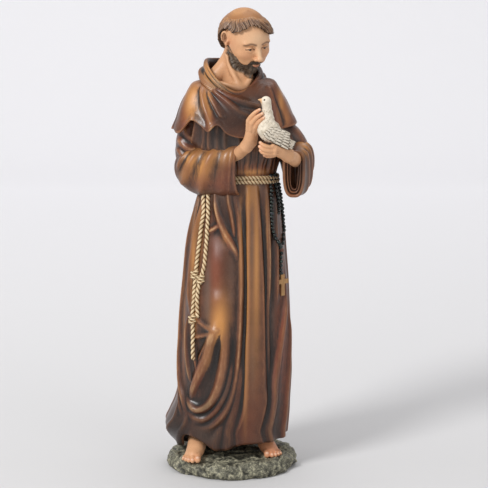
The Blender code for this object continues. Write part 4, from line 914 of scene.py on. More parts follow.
CORD_DIAMETER = 2.2
HANGING_CORDS = [
    [(-13.4, 152), (-13.7, 148.5), (-13.8, 139.1), (-15.1, 130.7), (-17.0, 112.3), (-17.8, 105.3),
        (-18.4, 97.1), (-19.0, 88.7), (-19.6, 81.9), (-19.5, 74.5), (-19.1, 62.0), (-18.8, 57.5)],
    [(-11.6, 152), (-11.6, 148.5), (-11.6, 139.1), (-12.1, 130.7), (-12.9, 112.3), (-14.9, 103.8),
        (-16.5, 97.1), (-17.0, 88.7), (-16.6, 81.5)],
]
ROPE_SIDES = 18
ROPE_STAND_OFF = CORD_DIAMETER * 0.3
KNOT_SIZE = 3.9
KNOT_TURNS = 3.2
CORD_KNOTS = [(-18.1, 105.0), (-15.0, 103.0), (-19.6, 80.2)]


def tube_part(rings, masks):
    """Points, faces and masks of a closed tube over rings that may curve anywhere."""
    middle = np.repeat(rings.mean(1)[:-1], rings.shape[1], 0)
    return rings.reshape(-1, 3), skin_faces(rings, middle), masks


def merged(name, parts):
    """One object from several groups of points, faces and masks; the first group says which masks it has."""
    faces, start = [], 0
    for points, part_faces, _ in parts:
        faces += [[corner + start for corner in face] for face in part_faces]
        start += len(points)
    masks = {key: np.concatenate([np.ravel(part[2][key]) for part in parts]) for key in parts[0][2]}
    return mesh_of(name, np.concatenate([part[0] for part in parts]), faces, masks)


def rope_part(line, diameter, hand, taper=0, bands=0.36, shade=0.0):
    """Two twisted strands along line, with bands to the millimetre and taper rounded rings at each end."""
    tangent = np.gradient(line, axis=0)
    tangent /= np.linalg.norm(tangent, axis=1, keepdims=True)
    side = np.cross(tangent, (0.0, -1.0, 0.05))
    side /= np.linalg.norm(side, axis=1, keepdims=True)
    top = np.cross(side, tangent)
    run = np.concatenate([[0], np.cumsum(np.linalg.norm(np.diff(line, axis=0), axis=1))])
    around = np.linspace(0, 2 * math.pi, ROPE_SIDES, endpoint=False)
    bulge = np.abs(np.cos(around + hand * math.pi * bands * run[:, None])) ** 0.8
    radius = diameter / 2 * (0.60 + 0.46 * bulge)
    across, ahead = np.cos(around)[None, :, None], np.sin(around)[None, :, None]
    rings = line[:, None, :] + radius[..., None] * (across * side[:, None, :] + ahead * top[:, None, :])
    for n in range(taper):
        share = math.sin(math.pi / 2 * (n + 0.25) / taper)
        for row in (n, -1 - n):
            rings[row] = line[row] + (rings[row] - line[row]) * share
    # lift gives painted highlight on the strands' crests and painted shade between them; shade is painted
    # shade over the whole rope.
    return tube_part(rings, {"lift": bulge * 1.6 - 0.8, "painted_shade": shade + 0 * bulge})


def knot_part(place):
    """A wrapped knot: three turns of rope round the cord."""
    turn = np.linspace(0, KNOT_TURNS * 2 * math.pi, 90)
    across, tall = KNOT_SIZE * 0.46, KNOT_SIZE * 0.62
    climb = np.linspace(-tall, tall, len(turn))
    line = place + np.stack([across * np.cos(turn), across * 0.8 * np.sin(turn), climb], -1)
    return rope_part(line, CORD_DIAMETER * 0.62, 1, 4)


def rope_pieces():
    """The belt of two turns, and the tails that hang from it with their knots."""
    wraps = []
    for side in (-1, 1):
        angle = np.linspace(-math.pi, math.pi, 520)
        level = BELT_HEIGHT - 0.8 + side * BELT_GAP - 0.9 * np.sin(angle) ** 2
        line = tunic_point(angle, level, ROPE_STAND_OFF)
        # The belt turns get painted shade.
        wraps.append(rope_part(line[:-1], CORD_DIAMETER * 1.08, 1, bands=0.5, shade=0.45))
    belt = merged("rope_belt", wraps)
    tails = []
    for hand, path in zip((1, -1), HANGING_CORDS):
        tails.append(rope_part(on_front(path, 0.3, ROPE_STAND_OFF), CORD_DIAMETER, hand, 4))
    for place in CORD_KNOTS:
        tails.append(knot_part(place_on_front(*place, ROPE_STAND_OFF)))
    return belt, merged("rope_tails", tails)


ROSARY_STRANDS = [
    [(20.6, 159.5), (21.0, 147.1), (20.8, 138.8), (21.4, 130.4), (23.4, 123.7), (25.6, 119.4)],
    [(23.4, 159.0), (26.4, 151.8), (28.6, 146.2), (29.8, 140.0), (29.8, 133.9), (28.7, 126.6),
        (27.4, 121.0), (26.4, 119.4)],
    [(22.4, 159.5), (24.0, 150.0), (25.2, 144.0), (25.0, 138.6)],
    [(26.5, 116.0), (26.1, 112.5), (25.8, 106.0), (26.0, 105.2)],
]
BEAD_DIAMETER = 2.3
BEAD_STEP = 2.05
# Strands with a large bead after every ten small ones
DECADE_STRANDS = 2
DECADE = 11
MEDAL = (26.5, 117.6)
CROSS_TOP = (26.4, 104.6)
CROSS_TURN = 40.0
CROSS_HEIGHT = 12.0
CROSS_WIDTH = 8.0
CROSS_BAR = 2.4
CROSS_THICKNESS = 1.3


def ball_part(middle, radii, columns=12, rows=8, masks=("lift",)):
    around = np.linspace(0, 2 * math.pi, columns, endpoint=False)
    up = np.linspace(-math.pi / 2 + 0.05, math.pi / 2 - 0.05, rows)[:, None]
    unit = stacked(np.cos(up) * np.sin(around), -np.cos(up) * np.cos(around), np.sin(up))
    rings = np.asarray(middle) + unit * np.asarray(radii)
    return tube_part(rings, {key: np.zeros(unit.shape[:2]) for key in masks})


def rosary_pieces():
    radius = BEAD_DIAMETER / 2
    beads = []
    for n, path in enumerate(ROSARY_STRANDS):
        for k, place in enumerate(on_front(path, BEAD_STEP, radius * 0.62)):
            wobble = 0.16 * math.sin(2.1 * k + n)
            large = n < DECADE_STRANDS and k % DECADE == DECADE - 1
            size = radius * (1.18 if large else 1.0)
            middle = place + np.array((wobble, 0, 0))
            beads.append(ball_part(middle, (size, size, size * 0.94), masks=("lift", "painted_shade")))
        beads.append(rope_part(on_front(path, 0.4, 0.25), 0.7, 1, 2))
    medal = ball_part(place_on_front(*MEDAL, 0.7), (1.3, 0.7, 1.5), 24, 14)
    return merged("rosary_beads", beads), merged("rosary_medal", [medal])


def cross_piece():
    """A flat cross with bevelled edges, built as one outline with thickness."""
    half, arm, bar = CROSS_WIDTH / 2, CROSS_HEIGHT * 0.34, CROSS_BAR / 2
    flare = 0.12
    right = [
        (bar + flare, 0.0),
        (bar, -arm + bar),
        (half, -arm + bar + flare),
        (half, -arm - bar - flare),
        (bar, -arm - bar),
        (bar + flare, -CROSS_HEIGHT),
    ]
    left = [(-x, z) for x, z in right]
    corners = left[:1] + right + left[:0:-1]
    shape = bmesh.new()
    face = shape.faces.new([shape.verts.new((x * MM * SHARE, 0, z * MM * SHARE)) for x, z in corners])
    made = bmesh.ops.extrude_face_region(shape, geom=[face])
    pushed = [item for item in made["geom"] if isinstance(item, bmesh.types.BMVert)]
    bmesh.ops.translate(shape, vec=(0, CROSS_THICKNESS * MM * SHARE, 0), verts=pushed)
    bmesh.ops.recalc_face_normals(shape, faces=shape.faces)
    bmesh.ops.bevel(shape, geom=shape.edges[:], offset=0.22 * MM, segments=3, affect="EDGES", profile=0.6)
    mesh = bpy.data.meshes.new("rosary_cross")
    shape.to_mesh(mesh)
    shape.free()
    mesh.shade_smooth()
    mesh.set_sharp_from_angle(angle=math.radians(50))
    cross = link(mesh, "rosary_cross")
    top = place_on_front(*CROSS_TOP, 1.9)
    turn = Matrix.Rotation(math.radians(CROSS_TURN), 4, "Z")
    mesh.transform(Matrix.Translation(Vector(scaled(top))) @ turn)
    return cross


# Rock

# Waves of the edge: how many go round, height as a share of the radius, and where they start.
ROCK_WAVES = [(3, 0.022, 0.6), (7, 0.016, 1.9), (13, 0.012, 0.0), (23, 0.008, 2.4)]
# Share of the way out from the middle, and share of the thickness, from the underside to the top.
ROCK_PROFILE = [
    (0.94, 0.0), (0.975, 0.10), (1.0, 0.3), (0.99, 0.55), (0.965, 0.8), (0.92, 0.97), (0.84, 1.02),
    (0.6, 1.0), (0.3, 1.0), (0.02, 1.0),
]


def rock_radius(angle):
    """How far the rock's edge is from its middle, as a share of the plain oval."""
    return 1 + sum(height * np.sin(count * angle + start) for count, height, start in ROCK_WAVES)


def ridged(points, size, seed):
    """Sharp crests with rounded hollows between them, from 0 to 1."""
    return 1 - np.abs(noise(points, size, seed)) * 1.7


def rock_piece():
    """The low slab of rock, with a flat underside and hacked ridges."""
    angle = np.linspace(0, 2 * math.pi, 400, endpoint=False)
    share, level = np.split(along(ROCK_PROFILE, 92), 2, axis=1)
    radius = share * rock_radius(angle + level * 0.5)
    x = GROUND_WIDTH / 2 * radius * np.sin(angle)
    y = -GROUND_DEPTH / 2 * radius * np.cos(angle)
    waves = np.sin(9 * angle + 5 * share) + np.sin(4 * angle - 7 * share)
    bumps = 0.05 * waves * level * (1 - (1 - share) ** 2)
    z = GROUND_THICKNESS * (level + bumps) - GROUND_THICKNESS
    flat = np.stack([x, y, z], -1).reshape(-1, 3)
    warp = np.stack([noise(flat, 4, seed) for seed in (3, 4, 5)], -1)
    bent = flat + 1.2 * warp
    crests = 0.55 * ridged(bent, 7.0, 1) + 0.4 * ridged(bent, 3.6, 2) + 0.24 * ridged(bent, 1.9, 6)
    high = (crests * 1.1 - 0.7 + 0.14 * noise(flat, 0.9, 7)).reshape(x.shape)
    side = np.clip(1.25 * (1 - level) + 0.1, 0, 1) * smooth_step(0.7, 0.9, share)
    out = high * smooth_step(0.0, 0.18, level)
    x = x + out * side * np.sin(angle)
    y = y - out * side * np.cos(angle)
    z = np.maximum(z + out * (1 - side), -GROUND_THICKNESS)
    return loft("rock", np.stack([x, y, z], -1) / SHARE, {"lift": relief(high, 0.52, 0.5)})


# Sculpting: solids kept as distances on a grid


class Clay:
    """A solid kept as distances on a grid, negative inside, that shapes are pressed onto or into."""

    def __init__(self, low, high, step):
        self.low, self.step = np.array(low, float), step
        self.axes = [np.arange(a, b, step) for a, b in zip(low, high)]
        self.depth = np.full([len(axis) for axis in self.axes], 6.0)

    def press(self, shape, blend=1.0, cut=False):
        distance, low, high = shape
        reach = blend + 1.5
        spans = [np.searchsorted(axis, (a - reach, b + reach)) for axis, a, b in zip(self.axes, low, high)]
        window = tuple(slice(*span) for span in spans)
        grid = np.meshgrid(*[axis[part] for axis, part in zip(self.axes, window)], indexing="ij")
        new, old = distance(np.stack(grid, -1)), self.depth[window]
        old = -old if cut else old
        share = np.clip(0.5 + 0.5 * (old - new) / blend, 0, 1)
        joined = old + (new - old) * share - blend * share * (1 - share)
        self.depth[window] = -joined if cut else joined

    def skin(self):
        """The surface as points and quads: one point in every cell that it passes through."""
        depth = self.depth
        cells = np.array(depth.shape) - 1
        places, owners, quads = [], [], []
        for axis in range(3):
            near = [slice(None)] * 3
            far = [slice(None)] * 3
            near[axis], far[axis] = slice(0, -1), slice(1, None)
            a, b = depth[tuple(near)], depth[tuple(far)]
            crossing = np.argwhere((a < 0) != (b < 0))
            first, second = (k for k in range(3) if k != axis)
            inside = (crossing[:, first] > 0) & (crossing[:, second] > 0)
            inside &= (crossing[:, first] < cells[first]) & (crossing[:, second] < cells[second])
            crossing = crossing[inside]
            at = tuple(crossing.T)
            place = crossing.astype(float)
            place[:, axis] += a[at] / (a[at] - b[at])
            ring = []
            for u, v in ((0, 0), (1, 0), (1, 1), (0, 1)):
                cell = crossing.copy()
                cell[:, first] -= u
                cell[:, second] -= v
                ring.append(np.ravel_multi_index(cell.T, tuple(cells)))
                places.append(place)
                owners.append(ring[-1])
            quad = np.stack(ring, -1)
            turned = (a[at] < 0) != (axis == 1)
            quad[turned] = quad[turned][:, ::-1]
            quads.append(quad)
        owner, index = np.unique(np.concatenate(owners), return_inverse=True)
        index = index.ravel()
        places = np.concatenate(places)
        count = np.bincount(index)
        middle = np.stack([np.bincount(index, places[:, k]) / count for k in range(3)], -1)
        faces = np.searchsorted(owner, np.concatenate(quads))
        return self.low + middle * self.step, faces

    def lift(self, points, radius):
        """How far each point stands above its surroundings within radius."""
        soft = np.clip(self.depth, -2 * radius, 2 * radius)
        reach = max(1, int(round(radius / self.step)))
        for axis in range(3):
            total = np.cumsum(soft, axis)
            size = soft.shape[axis]
            high = np.clip(np.arange(size) + reach, 0, size - 1)
            low = np.clip(np.arange(size) - reach - 1, 0, size - 1)
            soft = (total.take(high, axis) - total.take(low, axis)) / (2 * reach + 1)
        cell = np.clip(np.round((points - self.low) / self.step).astype(int), 0, np.array(soft.shape) - 1)
        return soft[tuple(cell.T)] / radius


def lump(middle, radii, turn=None):
    """An ellipsoid, with the box that holds it. turn is the 3x3 matrix of its own axes."""
    middle, radii = np.array(middle, float), np.array(radii, float)

    def distance(p):
        q = p - middle if turn is None else (p - middle) @ turn
        share = np.linalg.norm(q / radii, axis=-1)
        return share * (share - 1) / np.maximum(np.linalg.norm(q / radii**2, axis=-1), 1e-9)

    reach = radii if turn is None else radii.max()
    return distance, middle - reach, middle + reach


def limb(points, count=9):
    """A chain of round cones through points of (x, y, z, radius), with the box that holds it."""
    line = along(points, count)

    def distance(p):
        best = np.full(p.shape[:-1], 99.0)
        for a, b in zip(line[:-1], line[1:]):
            way = b[:3] - a[:3]
            t = np.clip((p - a[:3]) @ way / max(way @ way, 1e-9), 0, 1)
            gap = np.linalg.norm(p - a[:3] - t[..., None] * way, axis=-1)
            best = np.minimum(best, gap - a[3] - t * (b[3] - a[3]))
        return best

    return distance, (line[:, :3] - line[:, 3:]).min(0), (line[:, :3] + line[:, 3:]).max(0)


def mirrored(middle, side):
    return (middle[0] * side, middle[1], middle[2])


def normals_of(points, faces):
    p = points[faces]
    flat = np.cross(p[:, 2] - p[:, 0], p[:, 3] - p[:, 1])
    total = np.zeros(points.shape)
    for corner in range(4):
        for k in range(3):
            total[:, k] += np.bincount(faces[:, corner], flat[:, k], len(points))
    return total / np.maximum(np.linalg.norm(total, axis=1, keepdims=True), 1e-12)


def near_curve(x, z, path, width):
    """1 on a curve of (x, z) points, fading to 0 over width."""
    line = along(path, 12 * len(path))
    gap = np.min(np.hypot(x[:, None] - line[:, 0], z[:, None] - line[:, 1]), axis=1)
    return smooth_step(width, width * 0.35, gap)


# Head

HEAD_CENTRE = (8.4, -3.0, 231.6)
HEAD_TURN = 30.0
HEAD_NOD = 20.0
HEAD_LEAN = -5.0
HEAD_STEP = 0.37
SKULL_MIDDLE = (0, 2.4, 5.4)
SKULL_RADII = (12.4, 15.0, 13.8)
EYE_MIDDLE = (4.4, -10.1, 2.0)
EYE_RADIUS = 2.0


def head_matrix():
    turn = Matrix.Rotation(math.radians(HEAD_TURN), 4, "Z")
    nod = Matrix.Rotation(math.radians(HEAD_NOD), 4, "X")
    lean = Matrix.Rotation(math.radians(HEAD_LEAN), 4, "Y")
    return np.array(Matrix.Translation(HEAD_CENTRE) @ turn @ lean @ nod)


def from_head(points):
    frame = head_matrix()
    return points @ frame[:3, :3].T + frame[:3, 3]


def into_head(points):
    """Body points of (x, y, z, radius) in the head's own frame."""
    points = np.array(points, float)
    frame = head_matrix()
    points[:, :3] = (points[:, :3] - frame[:3, 3]) @ frame[:3, :3]
    return points


NECK = [(3.8, 1.8, 200, 9.4), (3.8, 1.6, 210, 8.5), (4.2, 1.8, 220, 7.9), (5.2, 2.0, 230, 7.8)]
NECK_CORDS = [
    [(-2.2, -3.4, 226, 1.4), (0.4, -6.2, 217, 1.5), (5.4, -9.6, 208, 1.3)],
    [(12.0, -4.4, 222, 1.4), (10.6, -7.0, 214, 1.5), (7.6, -9.6, 208, 1.3)],
    [(1.0, 2.4, 226, 5.0), (-3.6, 2.0, 218.4, 5.0), (-11.0, 1.6, 211.0, 4.6)],
]
COLLAR_BONES = [[(6.0, -10.2, 207.0, 1.3), (-1.6, -9.4, 209.4, 1.2), (-8, -6, 211, 1.0)]]
CHEST = [(4.4, -1.6, 204, 9.4), (4.6, -1.6, 200, 10.0)]
# Middle and radii of the ellipsoids that the head starts from.
FACE = ((0, -4.4, -0.2), (9.8, 8.6, 13.0))
JAW = ((0, -3.6, -6.4), (9.0, 7.6, 6.8))
CHIN = ((0, -9.6, -11.2), (3.7, 3.1, 2.8))
EAR_HOLLOW = (14.3, 1.1, 4.9)
EAR_HOLLOW_RADII = (1.7, 1.6, 2.6)
# Distance from the middle of the face, and the beard's upper edge there; then depth, and its edge there.
BEARD_FRONT = [
    (0, -5.0), (3.2, -5.4), (4.8, -8.0), (6.6, -8.2), (8.4, -6.8), (9.6, -4.6), (10.6, 0.5), (11.4, 3.0),
]
BEARD_SIDE = [(-11, 9), (-9, -1), (-7, -4.2), (-5, -4.6), (-3, -3.4), (-1, -1.2), (1, 1.8)]
BROW = [(2.0, 4.8), (4.8, 5.5), (7.8, 4.4)]
LASHES = [(2.2, 2.1), (4.4, 2.85), (6.9, 2.0)]


def ear_turn(side):
    """The 3x3 matrix of an ear's own axes: its rear edge stands out from the head."""
    outwards = Matrix.Rotation(math.radians(-30 * side), 3, "Z")
    return np.array(outwards @ Matrix.Rotation(math.radians(-10), 3, "X"))


def bearded(points):
    """How much beard grows at a place of the head: sideburns, jaw, chin and upper lip."""
    x, y, z = points.T
    forms = (FACE, JAW, CHIN, (SKULL_MIDDLE, SKULL_RADII))
    gap = np.min([lump(*form)[0](points) for form in forms], axis=0)
    cheek = np.minimum(np.interp(np.abs(x), *zip(*BEARD_FRONT)), np.interp(y, *zip(*BEARD_SIDE)))
    grown = smooth_step(0.9, -0.5, z - cheek) * smooth_step(4.6, 3.0, y + 0.25 * z)
    mouth = smooth_step(0.8, 1.15, np.hypot(x / 2.5, (z + 7.6) / 0.95))
    nose = smooth_step(0.7, 1.1, np.hypot(x / 2.0, (z + 4.2) / 1.0))
    return grown * mouth * nose * smooth_step(2.9, 1.7, gap)


def head_piece():
    clay = Clay((-23, -20, -38), (19, 22, 21), HEAD_STEP)
    clay.press(lump(SKULL_MIDDLE, SKULL_RADII), 0.5)
    clay.press(lump(*FACE), 3.2)
    clay.press(lump(*JAW), 3.0)
    clay.press(lump(*CHIN), 2.4)
    clay.press(limb(into_head(NECK)), 2.6)
    for cord in NECK_CORDS + COLLAR_BONES:
        clay.press(limb(into_head(cord)), 2.0)
    clay.press(limb(into_head(CHEST), 3), 3.0)
    for side in (-1, 1):
        clay.press(lump(mirrored((5.9, -7.6, -1.4), side), (3.4, 3.4, 2.8)), 2.6)
        clay.press(lump(mirrored((4.4, -10.4, 5.2), side), (3.8, 1.6, 1.0)), 1.8)
        clay.press(lump(mirrored((4.3, -13.6, 2.4), side), (2.7, 2.6, 1.7)), 1.5, cut=True)
    clay.press(limb([(0, -11.4, 4.2, 1.25), (0, -13.2, 1.0, 1.35), (0, -15.0, -2.6, 1.5)]), 1.3)
    clay.press(lump((0, -15.5, -2.9), (1.6, 1.4, 1.3)), 0.9)
    for side in (-1, 1):
        clay.press(lump(mirrored((1.75, -13.9, -3.4), side), (1.05, 1.4, 1.0)), 0.6)
        clay.press(lump(mirrored((0.9, -14.6, -4.5), side), (0.5, 0.9, 0.5)), 0.4, cut=True)
        lid = [(2.3, -11.6, 2.5, 0.3), (4.4, -12.4, 3.2, 0.36), (6.6, -11.4, 2.3, 0.3)]
        pouch = [(2.6, -11.8, 1.2, 0.3), (4.4, -12.3, 0.6, 0.35), (6.4, -11.4, 1.1, 0.3)]
        clay.press(lump(mirrored(EYE_MIDDLE, side), (2.35, 2.25, 2.1)), 0.5)
        slit = [(2.5, -12.2, 1.9, 0.4), (4.4, -12.9, 1.9, 1.0), (6.4, -11.9, 1.75, 0.4)]
        clay.press(limb([(x * side, y, z, r) for x, y, z, r in slit]), 0.3, cut=True)
        clay.press(limb([(x * side, y - 0.1, z, r) for x, y, z, r in lid]), 0.4)
        clay.press(limb([(x * side, y, z, r) for x, y, z, r in pouch]), 0.4)
        ear = ear_turn(side)
        clay.press(lump(mirrored((13.0, 1.8, 4.6), side), (1.25, 2.6, 3.8), ear), 0.7)
        clay.press(lump(mirrored(EAR_HOLLOW, side), EAR_HOLLOW_RADII, ear), 0.3, cut=True)
        clay.press(lump(mirrored((13.5, 1.9, 4.6), side), (0.5, 0.55, 1.7), ear), 0.35)
        clay.press(lump(mirrored((12.6, -0.8, 3.4), side), (0.8, 0.8, 1.0)), 0.5)
        clay.press(lump(mirrored((12.8, 0.5, 1.3), side), (0.9, 1.2, 1.3)), 0.6)
    lips = [(-2.5, -12.1, -7.3, 0.4), (-0.8, -13.0, -6.9, 0.65), (0, -13.0, -7.0, 0.6)]
    lips += [(0.8, -13.0, -6.9, 0.65), (2.5, -12.1, -7.3, 0.4)]
    clay.press(limb(lips, 13), 0.6)
    clay.press(limb([(-1.9, -12.0, -8.0, 0.4), (0, -12.7, -8.3, 0.7), (1.9, -12.0, -8.0, 0.4)]), 0.6)
    parting = [(-2.7, -12.6, -7.5, 0.2), (0, -13.7, -7.65, 0.26), (2.7, -12.6, -7.5, 0.2)]
    clay.press(limb(parting), 0.3, cut=True)
    points, faces = clay.skin()
    lift = clay.lift(points, 0.8) + 0.7 * clay.lift(points, 2.0)
    x, y, z = points.T
    beard = bearded(points)
    swirl = x + 0.5 * np.sin(z * 1.1 + x * 0.6) + 0.45 * noise(points, 2.4, 11) + np.sign(x) * z * 0.45
    lock = 2 * np.abs(np.sin(swirl * 1.2 + 0.8 * noise(points, 2.2, 12))) ** 0.6 - 1
    strand = 2 * np.abs(np.sin(swirl * 2.9 + 1.0 * noise(points, 1.6, 13))) ** 0.7 - 1
    relief_high = 0.85 + 0.34 * lock + 0.2 * strand
    moved = points + normals_of(points, faces) * (beard * relief_high)[:, None]
    round_head = np.degrees(np.arctan2(x, SKULL_MIDDLE[1] - y))
    hair_top, hair_end = follow(HAIR_KEYS, round_head).T
    crown = smooth_step(-0.6, 0.4, z - (hair_top + hair_end) / 2)
    collar = from_head(points)[:, 2]
    hollow = np.zeros(len(points))
    for side in (-1, 1):
        off = (points - mirrored(EAR_HOLLOW, side)) @ ear_turn(side) / EAR_HOLLOW_RADII
        hollow = np.maximum(hollow, np.linalg.norm(off, axis=1) < 1.1)
    front = y < -6
    blush = [(6.4, -1.8, 3.2, 2.4, 0.35), (0, -3.2, 2.0, 1.4, 0.4), (12.6, 3, 2, 3, 0.5)]
    masks = {
        "lift": np.where(beard > 0.5, lock * 0.5 + strand * 0.5, lift),
        "beard": beard,
        "blush": patches(np.abs(x), z, blush),
        # Painted highlight on the forehead, the ridge of the nose and the chin.
        "pale": patches(x, z, [(0, 8, 8, 4, 0.8), (0, 0, 1.4, 4, 0.8), (0, -12, 3, 2, 0.4)]) * front,
        "lip": smooth_step(1.1, 0.8, np.hypot(x / 2.4, (z + 7.6) / 1.0)) * front,
        "brow": near_curve(np.abs(x), z, BROW, 0.85) * front,
        "lash": near_curve(np.abs(x), z, LASHES, 0.42) * front,
        "crown": crown,
        "glaze": smooth_step(3.6, 0.8, z - hair_top) * crown,
        # Painted shade on the neck towards the collar and inside the ears.
        "painted_shade": smooth_step(211.0, 204.5, collar) + 0.45 * smooth_step(216.0, 207.0, collar) + 0.9 * hollow,
    }
    return mesh_of("head", from_head(moved), faces.tolist(), masks)


def eyes_piece():
    parts = []
    for side in (-1, 1):
        points, faces, _ = ball_part(mirrored(EYE_MIDDLE, side), (EYE_RADIUS,) * 3, 40, 30)
        turn = (points - mirrored(EYE_MIDDLE, side)) @ np.array((0.0, -0.995, -0.1)) / EYE_RADIUS
        masks = {"iris": smooth_step(0.86, 0.9, turn), "pupil": smooth_step(0.955, 0.97, turn)}
        parts.append((from_head(points), faces, masks))
    return merged("eyes", parts)


# Angle round the head from the face in degrees, and the heights of the hair's upper and lower edge.
HAIR_KEYS = [
    (-180, 13.4, -8.5), (-150, 13.4, -8.0), (-125, 13.6, -7.0), (-112, 13.8, -2.4), (-98, 14.2, 6.8),
    (-82, 15.2, 10.2), (-66, 16.2, 9.6), (-50, 17.0, 11.2), (-33, 17.5, 13.4), (-20, 17.8, 14.8),
    (-7, 17.8, 14.6), (8, 17.5, 13.2), (26, 16.7, 10.2), (44, 16.0, 8.4), (60, 15.4, 7.4), (70, 15.0, 6.4),
    (82, 14.6, 7.4), (98, 13.9, 7.2), (112, 13.8, -2.4), (125, 13.6, -7.0), (150, 13.4, -8.0),
    (180, 13.4, -8.5),
]
HAIR_THICKNESS = 2.1
HAIR_RADIUS = 13.0


def hair_piece():
    """A ring of carved hair below the bare crown, with wavy locks and a curled lower edge."""
    columns, rows, under = 560, 62, 7
    angle = circle(columns)
    top, bottom = follow(HAIR_KEYS, np.degrees(angle)).T
    arc = HAIR_RADIUS * angle
    bottom = bottom + 0.8 * np.abs(np.sin(arc * 1.15 + 0.9 * np.sin(arc * 0.31)))
    share = np.concatenate([np.zeros(under), np.linspace(0, 1, rows)])[:, None]
    curl = np.concatenate([np.linspace(-1, 0, under, endpoint=False), np.zeros(rows)])[:, None]
    level = bottom + (top - bottom) * share + 0.3 * np.sin(curl * math.pi)
    place = stacked(arc, level, 0.0)
    bend = np.sin(level * 0.8 + 1.5 * np.sin(arc * 0.33))
    sway = arc + 0.9 * bend + 0.9 * noise(place, 3.2, 21) + 0.4 * level
    lock = 2 * np.abs(np.sin(sway * 0.95)) ** 0.8 - 1
    strand = 2 * np.abs(np.sin(sway * 2.5 + 0.9 * noise(place, 2.0, 22))) ** 0.9 - 1
    fine = np.sin(sway * 9.0 + 0.8 * noise(place, 1.4, 23))
    carved = 0.5 * lock + 0.36 * strand + 0.07 * fine
    body = HAIR_THICKNESS * ((1 - share) ** 0.75 * (1 - 0.25 * share) + 0.06)
    fade = smooth_step(1.0, 0.7, share) * 0.85 + 0.15
    thick = body + carved * fade * smooth_step(0.0, 0.06, share + 0.03)
    thick = thick * (1 + curl) ** 0.6 + curl * 1.6 * (curl < -0.05)
    across = np.sqrt(np.clip(1 - ((level - SKULL_MIDDLE[2]) / SKULL_RADII[2]) ** 2, 0.05, 1))
    x = (SKULL_RADII[0] * across + thick) * np.sin(angle)
    y = -(SKULL_RADII[1] * across + thick) * np.cos(angle)
    rings = np.stack([x, SKULL_MIDDLE[1] + y, level], -1)
    inner = np.stack([x[-1:] * 0.9, SKULL_MIDDLE[1] + y[-1:] * 0.9, level[-1:] - 1.0], -1)
    masks = {
        "lift": lock * 0.35 + strand * 0.6 + fine * 0.25,
        "tip": np.repeat(smooth_step(0.6, 0.97, share), columns, 1),
        # Painted shade under the curled lower edge.
        "painted_shade": np.repeat(smooth_step(0.10, 0.0, share), columns, 1),
    }
    for key, at_root in (("lift", 0), ("tip", 1), ("painted_shade", 0)):
        masks[key] = np.concatenate([masks[key], np.full((1, columns), at_root)])
    return loft("hair", from_head(np.concatenate([rings, inner])), masks, band=True)


# Hands

LEFT_HAND = {
    "wrist": [(-6, -12, 167, 3.6), (2.5, -16.5, 171.6, 3.5), (8.2, -25.6, 177.2, 3.3)],
    "palm": [(8.6, -26.6, 178.0, 3.2), (10.6, -30.0, 183.2, 3.3), (11.0, -31.8, 188.4, 2.8)],
    "heel": [(11.4, -26.6, 180, 2.8), (12.4, -27.8, 184, 2.4), (12.8, -29.4, 187.6, 2.2)],
    "fingers": [
        [(9.2, -32.8, 187.6, 1.3), (9.7, -34.6, 192.8, 1.3), (12.6, -36.2, 196.6, 1.15),
            (15.4, -36.8, 198.6, 0.9)],
        [(10.8, -33.8, 187.4, 1.3), (11.5, -35.8, 191.4, 1.25), (14.0, -37.2, 194.6, 1.15),
            (16.8, -37.8, 196.6, 0.9)],
        [(12.3, -33.4, 186.6, 1.25), (13.2, -35.4, 189.6, 1.2), (15.2, -37.0, 192.4, 1.1),
            (17.6, -37.8, 194.4, 0.85)],
        [(13.2, -31.8, 185.0, 1.15), (14.4, -33.8, 187.6, 1.1), (16.2, -35.6, 190.0, 0.95)],
    ],
    "thumb": [(11.4, -27.6, 181, 2.0), (13.4, -28.0, 187, 1.6), (15.4, -29.0, 191, 1.3)],
    "knuckles": [(9.4, -34.4, 192.4), (11.2, -35.6, 191.0), (13.0, -35.2, 189.2)],
}
RIGHT_HAND = {
    "wrist": [(36.0, -6, 167.6, 4.2), (34.4, -19.0, 170.0, 3.9), (31.0, -27.2, 172.6, 3.3)],
    "palm": [(30.8, -27.4, 172.8, 3.3), (26.8, -31.2, 175.2, 3.2), (23.0, -33.4, 176.8, 2.8)],
    "heel": [(31.0, -28.0, 175.0, 2.6), (27.6, -31.6, 177.4, 2.3)],
    "fingers": [
        [(24.0, -35.4, 178.0, 1.25), (20.0, -37.8, 178.8, 1.2), (17.4, -38.2, 179.8, 1.1),
            (15.8, -37.0, 181.0, 0.9)],
        [(23.8, -35.8, 176.4, 1.25), (19.8, -37.8, 176.7, 1.15), (17.0, -38.0, 177.6, 1.05),
            (15.4, -36.8, 178.9, 0.9)],
        [(23.6, -35.4, 174.9, 1.2), (19.8, -37.0, 174.9, 1.1), (17.2, -37.2, 175.6, 1.0),
            (15.8, -36.0, 176.7, 0.85)],
        [(23.4, -34.2, 173.8, 1.1), (20.2, -35.4, 173.4, 1.0), (18.0, -35.4, 174.0, 0.9)],
    ],
    "thumb": [(28.6, -32.4, 175.8, 1.6), (25.2, -35.4, 177.8, 1.35), (22.6, -37.0, 179.4, 1.1)],
    "knuckles": [(24.0, -36.2, 178.2), (23.8, -36.6, 176.6), (23.6, -36.2, 175.0)],
}


